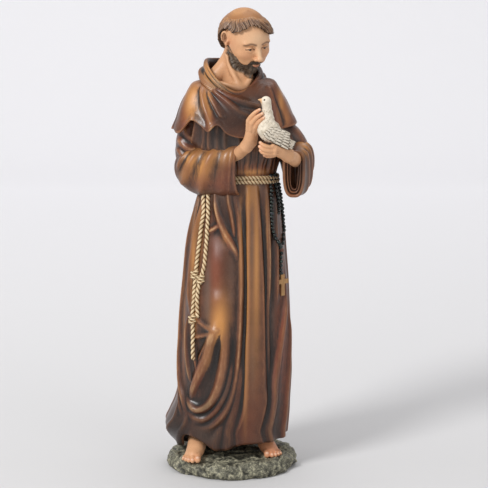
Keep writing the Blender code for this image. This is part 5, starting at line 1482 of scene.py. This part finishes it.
def hands_piece():
    clay = Clay((-10, -43, 161), (41, -3, 207), 0.36)
    tips = []
    for hand in (LEFT_HAND, RIGHT_HAND):
        clay.press(limb(hand["wrist"]), 0.4)
        clay.press(limb(hand["palm"]), 2.0)
        clay.press(limb(hand["heel"]), 1.6)
        for finger in hand["fingers"]:
            clay.press(limb(finger, 12), 0.3)
        clay.press(limb(hand["thumb"]), 0.7)
        for place in hand["knuckles"]:
            clay.press(lump(place, (1.1, 1.1, 1.1)), 0.8)
        tips += [(finger[-1], finger[-2]) for finger in hand["fingers"]]
    points, faces = clay.skin()
    lift = clay.lift(points, 0.7) + 0.8 * clay.lift(points, 1.6)
    nail = np.zeros(len(points))
    rosy = np.zeros(len(points))
    for tip, joint in tips:
        way = np.array(tip[:3]) - np.array(joint[:3])
        way = way / np.linalg.norm(way)
        middle = np.array(tip[:3]) - way * 0.1 + np.array((0, -0.7, 0.3))
        nail = np.maximum(nail, smooth_step(1.0, 0.75, np.linalg.norm((points - middle) / 0.7, axis=1)))
        rosy = np.maximum(rosy, np.exp(-((np.linalg.norm(points - tip[:3], axis=1) / 2.4) ** 2)))
    masks = {"lift": lift, "blush": rosy * 0.7, "nail": nail, "painted_shade": np.zeros(len(points))}
    return mesh_of("hands", points, faces.tolist(), masks)


# Feet

FEET = [
    {
        "ankle": [(-16.8, -2, 16, 5.7), (-18.9, -8, 9.5, 5.5), (-20.0, -14.0, 5.0, 4.7)],
        "instep": [(-19.8, -12, 4.6, 4.6), (-20.6, -17.0, 3.2, 4.3), (-21.3, -20.0, 2.3, 3.5)],
        "outer": [(-21.8, -12, 2.4, 3.2), (-23.5, -17.2, 1.8, 2.7)],
        "toes": [
            [(-19.2, -18.0, 2.6, 2.4), (-18.9, -22.0, 1.9, 1.9), (-18.9, -25.2, 1.4, 1.8)],
            [(-21.2, -19.6, 2.4, 1.6), (-21.5, -23.6, 2.1, 1.25), (-21.7, -26.2, 1.0, 1.25)],
            [(-22.8, -19.0, 2.2, 1.5), (-23.5, -22.8, 1.9, 1.15), (-23.8, -25.2, 0.9, 1.15)],
            [(-23.8, -17.8, 2.0, 1.4), (-24.9, -21.2, 1.7, 1.05), (-25.4, -23.5, 0.8, 1.06)],
            [(-24.8, -16.2, 1.7, 1.3), (-26.3, -19.0, 1.4, 1.0), (-26.9, -21.0, 0.7, 1.0)],
        ],
    },
    {
        "ankle": [(16.6, 3, 13, 4.8), (18.4, -2, 7.4, 4.5), (20.0, -6, 4.6, 4.2)],
        "instep": [(19.8, -5, 4.4, 4.1), (21.2, -8.6, 3.0, 3.9), (21.8, -10.2, 2.3, 3.3)],
        "outer": [(22.6, -4, 2.4, 3.0), (24.2, -7.6, 1.8, 2.5)],
        "toes": [
            [(20.2, -9.6, 2.6, 2.2), (20.0, -13.0, 1.9, 1.75), (20.1, -15.6, 1.3, 1.7)],
            [(22.0, -10.4, 2.4, 1.5), (22.5, -13.6, 2.0, 1.2), (22.8, -15.8, 1.0, 1.2)],
            [(23.6, -9.8, 2.2, 1.45), (24.4, -12.6, 1.8, 1.1), (24.8, -14.7, 0.9, 1.1)],
            [(24.9, -8.6, 2.0, 1.35), (26.0, -11.2, 1.6, 1.02), (26.5, -13.0, 0.8, 1.02)],
            [(25.6, -7.0, 1.7, 1.2), (27.1, -9.2, 1.4, 0.98), (27.8, -10.7, 0.7, 0.98)],
        ],
    },
]


def feet_piece():
    clay = Clay((-34, -31, -2.5), (34, 9, 19), 0.4)
    nails = []
    for foot in FEET:
        clay.press(limb(foot["ankle"]), 0.5)
        clay.press(limb(foot["instep"]), 2.0)
        clay.press(limb(foot["outer"], 5), 2.0)
        for toe in foot["toes"]:
            clay.press(limb(toe, 7), 0.3)
            tip = toe[-1]
            middle = np.array((tip[0], tip[1] - tip[3] * 0.35, tip[2] + tip[3] * 0.72))
            nails.append((middle, tip[3] * 0.62))
            clay.press(lump(middle, (tip[3] * 0.62, tip[3] * 0.6, tip[3] * 0.42)), 0.15)
    points, faces = clay.skin()
    lift = clay.lift(points, 0.8) + 0.8 * clay.lift(points, 1.8)
    nail = np.zeros(len(points))
    rosy = np.zeros(len(points))
    for middle, size in nails:
        gap = np.linalg.norm((points - middle) / (size, size, size * 0.8), axis=1)
        nail = np.maximum(nail, smooth_step(1.15, 0.85, gap))
        rosy = np.maximum(rosy, np.exp(-((gap / 2.2) ** 2)))
    # Painted shade on the tops of the feet, where they go under the hem.
    shade = smooth_step(9.0, 13.0, points[:, 2])
    red = 0.9 * smooth_step(6.0, 14.0, points[:, 0])
    masks = {"lift": lift, "blush": np.maximum(rosy * 0.7, red), "nail": nail, "painted_shade": shade}
    return mesh_of("feet", points, faces.tolist(), masks)


# Dove

DOVE = {
    "body": [
        (18.8, -34.2, 189.4, 4.4), (20.2, -34.2, 186.8, 5.0), (24.4, -33.8, 185.0, 4.0),
        (29.0, -32.4, 182.0, 2.5), (33.0, -31.0, 179.6, 1.3),
    ],
    "neck": [
        (19.6, -34.4, 188.4, 5.0), (19.5, -34.5, 193.4, 3.8), (19.4, -34.8, 198.2, 2.8),
        (19.1, -35.0, 201.6, 2.55), (18.9, -35.0, 203.2, 2.5),
    ],
    "beak": [(17.2, -35.2, 203.2, 1.0), (16.0, -35.4, 203.7, 0.75), (14.7, -35.6, 203.9, 0.3)],
}
DOVE_EYE = (18.0, -37.0, 203.9)
WING_SHOULDER = np.array((19.6, -39.2, 187.6))
WING_WAY = np.array((0.86, 0.27, -0.43))
WING_UP = np.array((0.41, 0.11, 0.905))


def dove_piece():
    clay = Clay((11, -43, 172), (39, -24, 209), 0.3)
    clay.press(limb(DOVE["body"], 14), 0.5)
    clay.press(limb(DOVE["neck"], 14), 2.0)
    clay.press(lump((18.7, -35.0, 202.9), (2.75, 2.35, 2.3)), 0.8)
    clay.press(limb(DOVE["beak"], 6), 0.35)
    clay.press(lump(DOVE_EYE, (0.6, 0.4, 0.6)), 0.3, cut=True)
    clay.press(lump((21.4, -36.4, 187.6), (4.2, 2.2, 3.6)), 1.6)
    clay.press(lump((22.6, -31.6, 188.4), (3.8, 2.0, 3.4)), 1.6)
    clay.press(lump((21.4, -34.6, 184.2), (4.6, 3.6, 3.2)), 1.6)
    points, faces = clay.skin()
    x, y, z = points.T
    down = np.sin(1.9 * z + 1.4 * np.sin(2.3 * x) + 1.2 * noise(points, 2.0, 31))
    soft = smooth_step(14.5, 17.5, x) * smooth_step(203, 198, z)
    points = points + normals_of(points, faces) * (0.11 * down * soft)[:, None]
    beak = smooth_step(17.0, 16.2, x) * smooth_step(201, 202.5, z)
    lift = clay.lift(points, 0.8) + 0.3 * down * soft
    return mesh_of("dove", points, faces.tolist(), {"lift": lift, "beak": beak, "edge": 0 * x})


def feather(base, way, up, length, width, curve, thickness=0.42):
    """One leaf-shaped feather: it starts at base, runs along way and bends towards the body."""
    away = np.cross(way, up)
    away = away / np.linalg.norm(away)
    away = away * (1 if away[1] < 0 else -1)
    along_it = np.linspace(0, 1, 16)
    half = width / 2 * np.sqrt(np.clip(np.sin(math.pi * (0.1 + 0.9 * along_it**0.8)), 0.004, 1))
    around = np.linspace(0, 2 * math.pi, 14, endpoint=False)
    rings, lift, edge = [], [], []
    for t, reach in zip(along_it, half):
        middle = base + way * (length * t) - away * (curve * t * t)
        side, face = np.cos(around), np.sin(around)
        thick = thickness * (0.5 + 0.5 * reach / half.max())
        spine = 0.12 * np.exp(-((side / 0.2) ** 2)) * (face > 0)
        rings.append(middle + (side * reach)[:, None] * up + (face * thick + spine)[:, None] * away)
        edge.append(np.maximum(side**2, smooth_step(0.84, 0.96, t)))
        # lift: painted highlight along the shaft and on the feather's front face, painted shade on its back
        # face.
        lift.append(spine * 4 + 0.2 * face)
    return tube_part(np.array(rings), {"lift": lift, "beak": np.zeros_like(lift), "edge": edge})


def feathers_piece():
    """Flight feathers, four rows of short ones over them, the tail, and the tips of the far wing."""
    away = np.cross(WING_WAY, WING_UP)
    away = away * (1 if away[1] < 0 else -1)
    # Count and start of a row. A pair is a first value and its step: ahead, up and length. Then come the
    # width, a pair for the turn in degrees, and the bend.
    rows = [
        (6, WING_SHOULDER - away * 0.6, (3.0, 0.9), (-3.3, 1.15), (13.6, -1.5), 1.75, (-4, 2.2), 0.6),
        (6, WING_SHOULDER - away * 0.05, (2.6, 0.75), (-3.4, 1.25), (8.2, -0.9), 1.8, (-4, 3.2), 0.3),
        (5, WING_SHOULDER + away * 0.4, (1.4, 0.7), (-2.8, 1.35), (5.6, -0.6), 1.8, (-8, 5.0), 0.3),
        (5, WING_SHOULDER + away * 0.75, (-0.1, 0.7), (-2.9, 1.35), (3.9, -0.2), 1.8, (-12, 7.0), 0.4),
        (4, WING_SHOULDER + away * 0.95, (-1.6, 0.6), (-2.0, 1.25), (3.0, 0.0), 1.7, (-16, 9.0), 0.5),
        (5, np.array((26.4, -33.2, 182.4)), (0.0, 0.0), (-1.0, 0.5), (9.6, 0.0), 1.9, (-6, 3.2), -0.1),
        (4, np.array((22.8, -31.0, 187.6)), (0.0, 0.6), (-1.2, 0.8), (10.6, -0.6), 1.9, (-5, 2.4), -0.4),
    ]
    parts = []
    for count, start, ahead, rise, length, width, fan, bend in rows:
        for n in range(count):
            turn = math.radians(fan[0] + fan[1] * n)
            way = WING_WAY * math.cos(turn) + WING_UP * math.sin(turn)
            up = WING_UP * math.cos(turn) - WING_WAY * math.sin(turn)
            base = start + WING_WAY * (ahead[0] + ahead[1] * n) + WING_UP * (rise[0] + rise[1] * n)
            parts.append(feather(base, way, up, length[0] + length[1] * n, width, bend))
    return merged("dove_feathers", parts)


def dove_eye_piece():
    parts = []
    for side in (-1, 1):
        middle = (DOVE_EYE[0], -35.0 + side * 1.95, DOVE_EYE[2])
        parts.append(ball_part(middle, (0.36, 0.3, 0.34), 18, 12))
    return merged("dove_eyes", parts)


# Materials


# Places of the colours and of the result among the sockets of a Mix node.
MIX_BELOW, MIX_ABOVE, MIX_RESULT = 6, 7, 2
NOISE_ROUGHNESS = 0.55


class Paint:
    """A Principled paint whose colour is built up in layers, each laid on through a mask."""

    def __init__(self, name, base, roughness, specular=0.5):
        self.material = bpy.data.materials.new(name)
        self.material.use_nodes = True
        self.tree = self.material.node_tree
        self.shader = self.tree.nodes["Principled BSDF"]
        self.shader.inputs["Metallic"].default_value = 0.0
        self.shader.inputs["Specular IOR Level"].default_value = specular
        self.shader.inputs["Roughness"].default_value = roughness
        self.coords = self.tree.nodes.new("ShaderNodeTexCoord").outputs["Object"]
        colour = self.tree.nodes.new("ShaderNodeRGB")
        colour.outputs[0].default_value = srgb(base)
        self.colour = colour.outputs[0]
        self.bump = None

    def attribute(self, name):
        node = self.tree.nodes.new("ShaderNodeAttribute")
        node.attribute_name = name
        return node.outputs["Fac"]

    def noise(self, size, detail=3.0, stretch=(1, 1, 1)):
        """Noise with lumps of about size millimetres."""
        place = self.tree.nodes.new("ShaderNodeMapping")
        place.inputs["Scale"].default_value = stretch
        self.tree.links.new(self.coords, place.inputs["Vector"])
        node = self.tree.nodes.new("ShaderNodeTexNoise")
        node.inputs["Scale"].default_value = 1 / (size * MM)
        node.inputs["Detail"].default_value = detail
        node.inputs["Roughness"].default_value = NOISE_ROUGHNESS
        self.tree.links.new(place.outputs[0], node.inputs["Vector"])
        return node.outputs["Fac"]

    def range(self, value, low, high, to_low=0.0, to_high=1.0):
        node = self.tree.nodes.new("ShaderNodeMapRange")
        node.interpolation_type = "SMOOTHSTEP"
        for key, number in (("From Min", low), ("From Max", high), ("To Min", to_low), ("To Max", to_high)):
            node.inputs[key].default_value = number
        self.tree.links.new(value, node.inputs["Value"])
        return node.outputs["Result"]

    def math(self, operation, a, b=0.0):
        node = self.tree.nodes.new("ShaderNodeMath")
        node.operation = operation
        for socket, value in zip(node.inputs, (a, b)):
            if isinstance(value, (int, float)):
                socket.default_value = value
            else:
                self.tree.links.new(value, socket)
        return node.outputs[0]

    def lay(self, colour, mask, strength):
        """Lays a colour on through a mask."""
        node = self.tree.nodes.new("ShaderNodeMix")
        node.data_type = "RGBA"
        node.inputs[MIX_ABOVE].default_value = srgb(colour)
        self.tree.links.new(self.math("MULTIPLY", mask, strength), node.inputs["Factor"])
        self.tree.links.new(self.colour, node.inputs[MIX_BELOW])
        self.colour = node.outputs[MIX_RESULT]

    def roughen(self, value, low, high, rough_low, rough_high):
        rough = self.range(value, low, high, rough_low, rough_high)
        self.tree.links.new(rough, self.shader.inputs["Roughness"])

    def raise_surface(self, value, depth):
        node = self.tree.nodes.new("ShaderNodeBump")
        node.inputs["Strength"].default_value = 1.0
        node.inputs["Distance"].default_value = depth * MM
        self.tree.links.new(value, node.inputs["Height"])
        if self.bump:
            self.tree.links.new(self.bump, node.inputs["Normal"])
        self.bump = node.outputs[0]

    def done(self):
        self.tree.links.new(self.colour, self.shader.inputs["Base Color"])
        if self.bump:
            self.tree.links.new(self.bump, self.shader.inputs["Normal"])
        return self.material


def srgb(colour):
    """A colour of 0 to 255 as it shows, in the linear values that the shader wants."""
    channels = [c / 255 for c in colour]
    return (*[c / 12.92 if c <= 0.04045 else ((c + 0.055) / 1.055) ** 2.4 for c in channels], 1.0)


def robe_paint(name="robe_paint", etched=False):
    paint = Paint(name, (82, 48, 31), 0.34)
    streak = paint.noise(1.1, 4.0, (1, 1, 0.25))
    cloud = paint.noise(9.0, 3.0)
    lift = paint.attribute("lift")
    paint.lay((104, 62, 40), paint.range(cloud, 0.42, 0.62), 0.6)
    paint.lay((132, 64, 36), paint.attribute("rust"), 0.75)
    # Painted grey reflection in shaded folds.
    paint.lay((104, 94, 84), paint.attribute("painted_reflection"), 0.6)
    # Golden paint with painted highlight on lit folds.
    paint.lay((202, 140, 76), paint.attribute("gold_and_highlight"), 0.9)
    # Paler crests of the folds: dry-brushed paint and painted highlight.
    crest_paint_and_highlight = paint.math("ADD", lift, paint.range(streak, 0.3, 0.7, -0.2, 0.2))
    paint.lay((150, 98, 62), paint.range(crest_paint_and_highlight, 0.2, 1.0), 0.6)
    paint.lay((212, 166, 118), paint.range(crest_paint_and_highlight, 0.9, 1.9), 0.6)
    # Painted shade in the creases between folds, together with the figure's own toning there.
    crease_tone_and_shade = paint.math("ADD", lift, paint.range(streak, 0.3, 0.7, -0.1, 0.1))
    paint.lay((44, 26, 18), paint.range(crease_tone_and_shade, -0.05, -0.65), 0.9)
    paint.lay((17, 12, 10), paint.range(crease_tone_and_shade, -0.45, -1.1), 0.9)
    # Painted shade where the cloth lies in shadow and on turned-in rims.
    paint.lay((26, 18, 15), paint.attribute("painted_shade"), 0.85)
    grain = paint.noise(0.45, 2.0)
    paint.lay((255, 240, 220), paint.range(grain, 0.55, 0.8), 0.05)
    paint.lay((20, 12, 10), paint.range(grain, 0.45, 0.2), 0.16)
    if etched:
        lines = paint.math("SINE", paint.attribute("ply"))
        mask = paint.attribute("etched")
        paint.lay((56, 35, 25), paint.math("MULTIPLY", paint.range(lines, 0.1, 0.8), mask), 0.75)
        paint.lay((226, 186, 138), paint.math("MULTIPLY", paint.range(lines, -0.1, -0.8), mask), 0.6)
    paint.roughen(cloud, 0.3, 0.7, 0.29, 0.42)
    paint.raise_surface(paint.noise(0.6, 3.0), 0.025)
    return paint.done()


def rope_paint():
    paint = Paint("rope_paint", (204, 172, 128), 0.5)
    lift = paint.attribute("lift")
    # Painted highlight on the strands' crests and painted shade between them.
    paint.lay((236, 216, 176), paint.range(lift, 0.2, 0.75), 0.8)
    paint.lay((120, 80, 40), paint.range(lift, 0.3, -0.3), 0.9)
    paint.lay((44, 28, 15), paint.range(lift, -0.1, -0.7), 0.9)
    paint.lay((150, 110, 66), paint.range(paint.noise(6.0), 0.5, 0.7), 0.35)
    # Painted shade on the belt.
    paint.lay((112, 84, 54), paint.attribute("painted_shade"), 0.8)
    paint.raise_surface(paint.noise(0.35), 0.04)
    return paint.done()


def bead_paint():
    paint = Paint("bead_paint", (22, 25, 24), 0.32)
    paint.lay((70, 92, 80), paint.range(paint.noise(1.2), 0.5, 0.72), 0.8)
    paint.lay((60, 56, 84), paint.range(paint.noise(1.7), 0.58, 0.75), 0.4)
    paint.raise_surface(paint.noise(0.4), 0.04)
    return paint.done()


def medal_paint():
    paint = Paint("medal_paint", (112, 70, 56), 0.4)
    paint.lay((170, 120, 96), paint.range(paint.noise(0.9), 0.5, 0.7), 0.6)
    paint.raise_surface(paint.noise(0.5), 0.06)
    return paint.done()


def cross_paint():
    paint = Paint("cross_paint", (168, 126, 78), 0.45)
    paint.lay((196, 152, 98), paint.range(paint.noise(1.6, 3.0, (1, 1, 0.3)), 0.48, 0.7), 0.6)
    paint.lay((112, 76, 42), paint.range(paint.noise(0.8), 0.56, 0.75), 0.45)
    paint.raise_surface(paint.noise(0.5, 3.0, (1, 1, 0.2)), 0.05)
    return paint.done()


def rock_paint():
    paint = Paint("rock_paint", (90, 88, 76), 0.6, 0.35)
    lift = paint.attribute("lift")
    paint.lay((112, 110, 94), paint.range(paint.noise(6.0), 0.42, 0.62), 0.7)
    # Painted shade in the hollows.
    paint.lay((48, 48, 42), paint.range(lift, -0.05, -0.6), 0.8)
    # Paler crests of the rock: dry-brushed paint and painted highlight.
    crest_paint_and_highlight = paint.math("ADD", lift, paint.range(paint.noise(0.9, 4.0), 0.3, 0.7, -0.4, 0.4))
    paint.lay((158, 154, 134), paint.range(crest_paint_and_highlight, 0.0, 0.6), 0.5)
    paint.lay((208, 200, 168), paint.range(crest_paint_and_highlight, 0.4, 1.0), 0.5)
    for size, width, strength in ((3.4, 0.022, 0.6), (1.9, 0.026, 0.5)):
        level = paint.math("ABSOLUTE", paint.math("SUBTRACT", paint.noise(size, 2.5), 0.5))
        line = paint.math("MULTIPLY", paint.range(level, width, 0.2 * width), paint.range(lift, -0.5, 0.2))
        paint.lay((192, 187, 156), line, strength)
    paint.lay((60, 58, 48), paint.range(paint.noise(2.0, 4.0), 0.58, 0.7), 0.5)
    paint.raise_surface(paint.noise(0.5, 4.0), 0.12)
    return paint.done()


def skin_paint(name, head=False):
    paint = Paint(name, (216, 164, 122), 0.46, 0.4)
    lift = paint.attribute("lift")
    paint.lay((205, 150, 108), paint.range(paint.noise(5.0), 0.42, 0.66), 0.35)
    paint.lay((216, 128, 92), paint.attribute("blush"), 0.5)
    # Painted highlight on raised forms and painted shade in hollows and creases.
    paint.lay((236, 192, 148), paint.range(lift, 0.25, 0.8), 0.4)
    paint.lay((158, 98, 64), paint.range(lift, -0.14, -0.6), 0.65)
    paint.lay((92, 48, 30), paint.range(lift, -0.45, -1.0), 0.7)
    if head:
        # Painted highlight on the forehead, nose ridge and chin.
        paint.lay((244, 210, 172), paint.attribute("pale"), 0.6)
        streak = paint.noise(0.5, 3.0, (1, 1, 0.3))
        crown = paint.attribute("crown")
        paint.lay((188, 136, 88), crown, 0.95)
        paint.lay((150, 100, 58), paint.attribute("glaze"), 0.75)
        paint.lay((132, 86, 48), paint.math("MULTIPLY", crown, paint.range(streak, 0.45, 0.65)), 0.25)
        # Painted shade on the neck towards the collar and inside the ears.
        paint.lay((110, 70, 44), paint.attribute("painted_shade"), 0.75)
        paint.lay((168, 100, 80), paint.attribute("lip"), 0.7)
        paint.lay((104, 72, 50), paint.attribute("brow"), 0.75)
        paint.lay((60, 36, 26), paint.attribute("lash"), 0.9)
        beard = paint.attribute("beard")
        paint.lay((78, 66, 55), beard, 0.97)
        # Painted shade in the beard's grooves, and paler crests that are grey strands and painted highlight.
        paint.lay((30, 26, 23), paint.math("MULTIPLY", beard, paint.range(lift, 0.25, -0.4)), 0.9)
        paint.lay((140, 126, 110), paint.math("MULTIPLY", beard, paint.range(lift, 0.6, 0.98)), 0.6)
    else:
        paint.lay((236, 196, 168), paint.attribute("nail"), 0.8)
        # Painted shade on the feet where they go under the hem.
        paint.lay((70, 40, 26), paint.attribute("painted_shade"), 0.8)
    grain = paint.noise(0.5, 2.0)
    paint.lay((120, 76, 50), paint.range(grain, 0.5, 0.25), 0.12)
    paint.roughen(paint.noise(4.0), 0.3, 0.7, 0.4, 0.52)
    paint.raise_surface(paint.noise(0.5, 3.0), 0.03)
    return paint.done()


def eye_paint():
    paint = Paint("eye_paint", (232, 222, 208), 0.25)
    paint.lay((206, 176, 160), paint.range(paint.noise(1.5), 0.5, 0.7), 0.3)
    paint.lay((84, 54, 34), paint.attribute("iris"), 1.0)
    paint.lay((16, 12, 12), paint.attribute("pupil"), 1.0)
    return paint.done()


def hair_paint():
    paint = Paint("hair_paint", (118, 84, 60), 0.42)
    lift = paint.attribute("lift")
    paint.lay((142, 116, 92), paint.range(paint.noise(5.0), 0.45, 0.65), 0.4)
    # Painted shade in the grooves between locks and painted highlight on their crests.
    paint.lay((54, 40, 32), paint.range(lift, 0.3, -0.3), 0.9)
    paint.lay((26, 19, 17), paint.range(lift, -0.15, -0.8), 0.85)
    paint.lay((158, 126, 98), paint.range(lift, 0.5, 0.85), 0.6)
    paint.lay((206, 178, 146), paint.range(lift, 0.85, 1.15), 0.5)
    streak = paint.noise(0.55, 3.0, (1, 1, 0.3))
    tip = paint.math("MULTIPLY", paint.attribute("tip"), paint.range(streak, 0.35, 0.6))
    paint.lay((186, 132, 82), tip, 0.9)
    # Painted shade under the curled lower edge.
    paint.lay((26, 20, 18), paint.attribute("painted_shade"), 0.7)
    paint.raise_surface(paint.noise(0.4, 3.0, (1, 1, 0.3)), 0.04)
    return paint.done()


def dove_paint():
    paint = Paint("dove_paint", (228, 216, 196), 0.5, 0.35)
    lift = paint.attribute("lift")
    paint.lay((180, 166, 144), paint.range(paint.noise(3.0), 0.42, 0.66), 0.5)
    # Painted shade in hollows and painted highlight on raised parts, including the feathers' front faces.
    paint.lay((160, 142, 116), paint.range(lift, 0.0, -0.3), 0.85)
    paint.lay((240, 235, 226), paint.range(lift, 0.15, 0.6), 0.6)
    paint.lay((96, 84, 70), paint.range(lift, -0.35, -0.9), 0.8)
    paint.lay((70, 58, 46), paint.range(paint.attribute("edge"), 0.3, 0.75), 0.95)
    paint.lay((222, 176, 128), paint.attribute("beak"), 1.0)
    paint.raise_surface(paint.noise(0.5, 3.0), 0.04)
    return paint.done()


def dove_eye_paint():
    paint = Paint("dove_eye_paint", (38, 34, 34), 0.2)
    paint.lay((80, 66, 56), paint.range(paint.noise(0.5), 0.55, 0.7), 0.6)
    return paint.done()


# Stage

# One paper sheet, painted with shade: a darker grey over the floor in front, fading to a lighter grey towards
# the back, the bend and the wall.
SHADED_FLOOR_GREY = (208, 207, 207)
LIT_WALL_GREY = (250, 249, 251)
# Metres: front and back end of the floor, radius of the bend, height of the wall and width of the sheet.
FLOOR_FRONT = -7.0
FLOOR_BACK = 1.2
BEND_RADIUS = 0.5
WALL_HEIGHT = 2.2
SHEET_WIDTH = 14.0
BEND_STEPS = 16
SHADE_DEPTH = 1.1


def make_stage():
    """A pale sweep: floor, a wide bend and a wall, as one sheet."""
    profile = [(FLOOR_FRONT, 0.0), (FLOOR_BACK, 0.0)]
    for step in range(1, BEND_STEPS + 1):
        turn = math.radians(90 * step / BEND_STEPS)
        profile.append((FLOOR_BACK + BEND_RADIUS * math.sin(turn), BEND_RADIUS * (1 - math.cos(turn))))
    profile.append((FLOOR_BACK + BEND_RADIUS, WALL_HEIGHT))
    points = [(side * SHEET_WIDTH / 2, y, z) for y, z in profile for side in (-1, 1)]
    faces = [(2 * i, 2 * i + 1, 2 * i + 3, 2 * i + 2) for i in range(len(profile) - 1)]
    mesh = bpy.data.meshes.new("backdrop")
    mesh.from_pydata(points, [], faces)
    mesh.shade_smooth()
    backdrop = link(mesh, "backdrop")
    material = bpy.data.materials.new("backdrop_paper")
    material.use_nodes = True
    tree = material.node_tree
    shader = tree.nodes["Principled BSDF"]
    # Painted shade: the colour runs from the shaded floor grey in front to the lit wall grey over the first
    # SHADE_DEPTH metres back.
    place = tree.nodes.new("ShaderNodeSeparateXYZ")
    tree.links.new(tree.nodes.new("ShaderNodeTexCoord").outputs["Object"], place.inputs[0])
    share = tree.nodes.new("ShaderNodeMapRange")
    share.inputs["From Max"].default_value = SHADE_DEPTH
    tree.links.new(place.outputs["Y"], share.inputs["Value"])
    shade = tree.nodes.new("ShaderNodeMix")
    shade.data_type = "RGBA"
    shade.inputs[MIX_BELOW].default_value = srgb(SHADED_FLOOR_GREY)
    shade.inputs[MIX_ABOVE].default_value = srgb(LIT_WALL_GREY)
    tree.links.new(share.outputs["Result"], shade.inputs["Factor"])
    tree.links.new(shade.outputs[MIX_RESULT], shader.inputs["Base Color"])
    shader.inputs["Roughness"].default_value = 0.9
    shader.inputs["Specular IOR Level"].default_value = 0.1
    mesh.materials.append(material)


LIGHTS_AIM = Vector((0, 0, 0.12))
WORLD_TINT = (0.98, 0.985, 1.0, 1.0)
WORLD_STRENGTH = 0.56


def soft_light(name, place, size, power):
    light = bpy.data.lights.new(name, "AREA")
    light.shape = "DISK"
    light.size = size
    light.energy = power
    lamp = link(light, name)
    lamp.location = place
    lamp.rotation_euler = (LIGHTS_AIM - Vector(place)).to_track_quat("-Z", "Y").to_euler()


def make_lights():
    world = bpy.data.worlds.new("studio")
    bpy.context.scene.world = world
    world.use_nodes = True
    background = world.node_tree.nodes["Background"]
    background.inputs["Color"].default_value = WORLD_TINT
    background.inputs["Strength"].default_value = WORLD_STRENGTH
    soft_light("key", (-0.95, -1.05, 1.2), 0.5, 20.0)
    soft_light("fill", (1.2, -1.3, 0.8), 1.0, 3.0)
    soft_light("top", (0.1, 0.3, 1.6), 1.0, 6.0)


CAMERA_AIM = Vector((0.0071, 0.0, 0.1279))
CAMERA_DISTANCE = 1.0
CAMERA_ELEVATION = math.radians(10.0)
CAMERA_LENS = 131.4
CAMERA_SENSOR = 36.0


def make_camera():
    camera = link(bpy.data.cameras.new("camera"), "camera")
    back = Vector((0, -math.cos(CAMERA_ELEVATION), math.sin(CAMERA_ELEVATION)))
    camera.location = CAMERA_AIM + back * CAMERA_DISTANCE
    camera.rotation_euler = (-back).to_track_quat("-Z", "Y").to_euler()
    camera.data.lens = CAMERA_LENS
    camera.data.sensor_width = CAMERA_SENSOR
    bpy.context.scene.camera = camera


# Assembly


def finish_piece(piece, material):
    piece.data.materials.append(material)
    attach(piece, "root")
    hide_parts(NODE)


def main():
    make_camera()
    make_stage()
    make_lights()
    bpy.context.scene.view_settings.view_transform = "Standard"

    robe = robe_paint()
    etched = robe_paint("cowl_paint", etched=True)
    cloths = [
        (tunic_piece("skirt", columns=500, rows=145, low=4, top=160, hem=True), robe),
        (tunic_piece("bodice", columns=300, rows=56, low=157, top=BODICE_TOP, hem=False), robe),
        (cape_piece(), robe),
        (cowl_piece(), etched),
        (hood_piece(), robe),
        (sleeve_piece("left_sleeve", LEFT_SLEEVE, columns=230, rows=108), robe),
        (sleeve_piece("right_sleeve", RIGHT_SLEEVE, columns=220, rows=90), robe),
        (arm_piece("left_upper_arm", LEFT_ARM_KEYS, LEFT_ARM_RIDGES, LEFT_ARM_SPOTS), robe),
        (arm_piece("right_upper_arm", RIGHT_ARM_KEYS, RIGHT_ARM_RIDGES, RIGHT_ARM_SPOTS), robe),
    ]
    for piece, paint in cloths:
        finish_piece(piece, paint)

    rope = rope_paint()
    for piece in rope_pieces():
        finish_piece(piece, rope)
    beads, medal = rosary_pieces()
    finish_piece(beads, bead_paint())
    finish_piece(medal, medal_paint())
    finish_piece(cross_piece(), cross_paint())
    finish_piece(rock_piece(), rock_paint())

    skin = skin_paint("skin_paint")
    finish_piece(head_piece(), skin_paint("head_paint", head=True))
    finish_piece(eyes_piece(), eye_paint())
    finish_piece(hair_piece(), hair_paint())
    finish_piece(hands_piece(), skin)
    finish_piece(feet_piece(), skin)
    dove = dove_paint()
    finish_piece(dove_piece(), dove)
    finish_piece(feathers_piece(), dove)
    finish_piece(dove_eye_piece(), dove_eye_paint())


main()

bpy.context.view_layer.update()
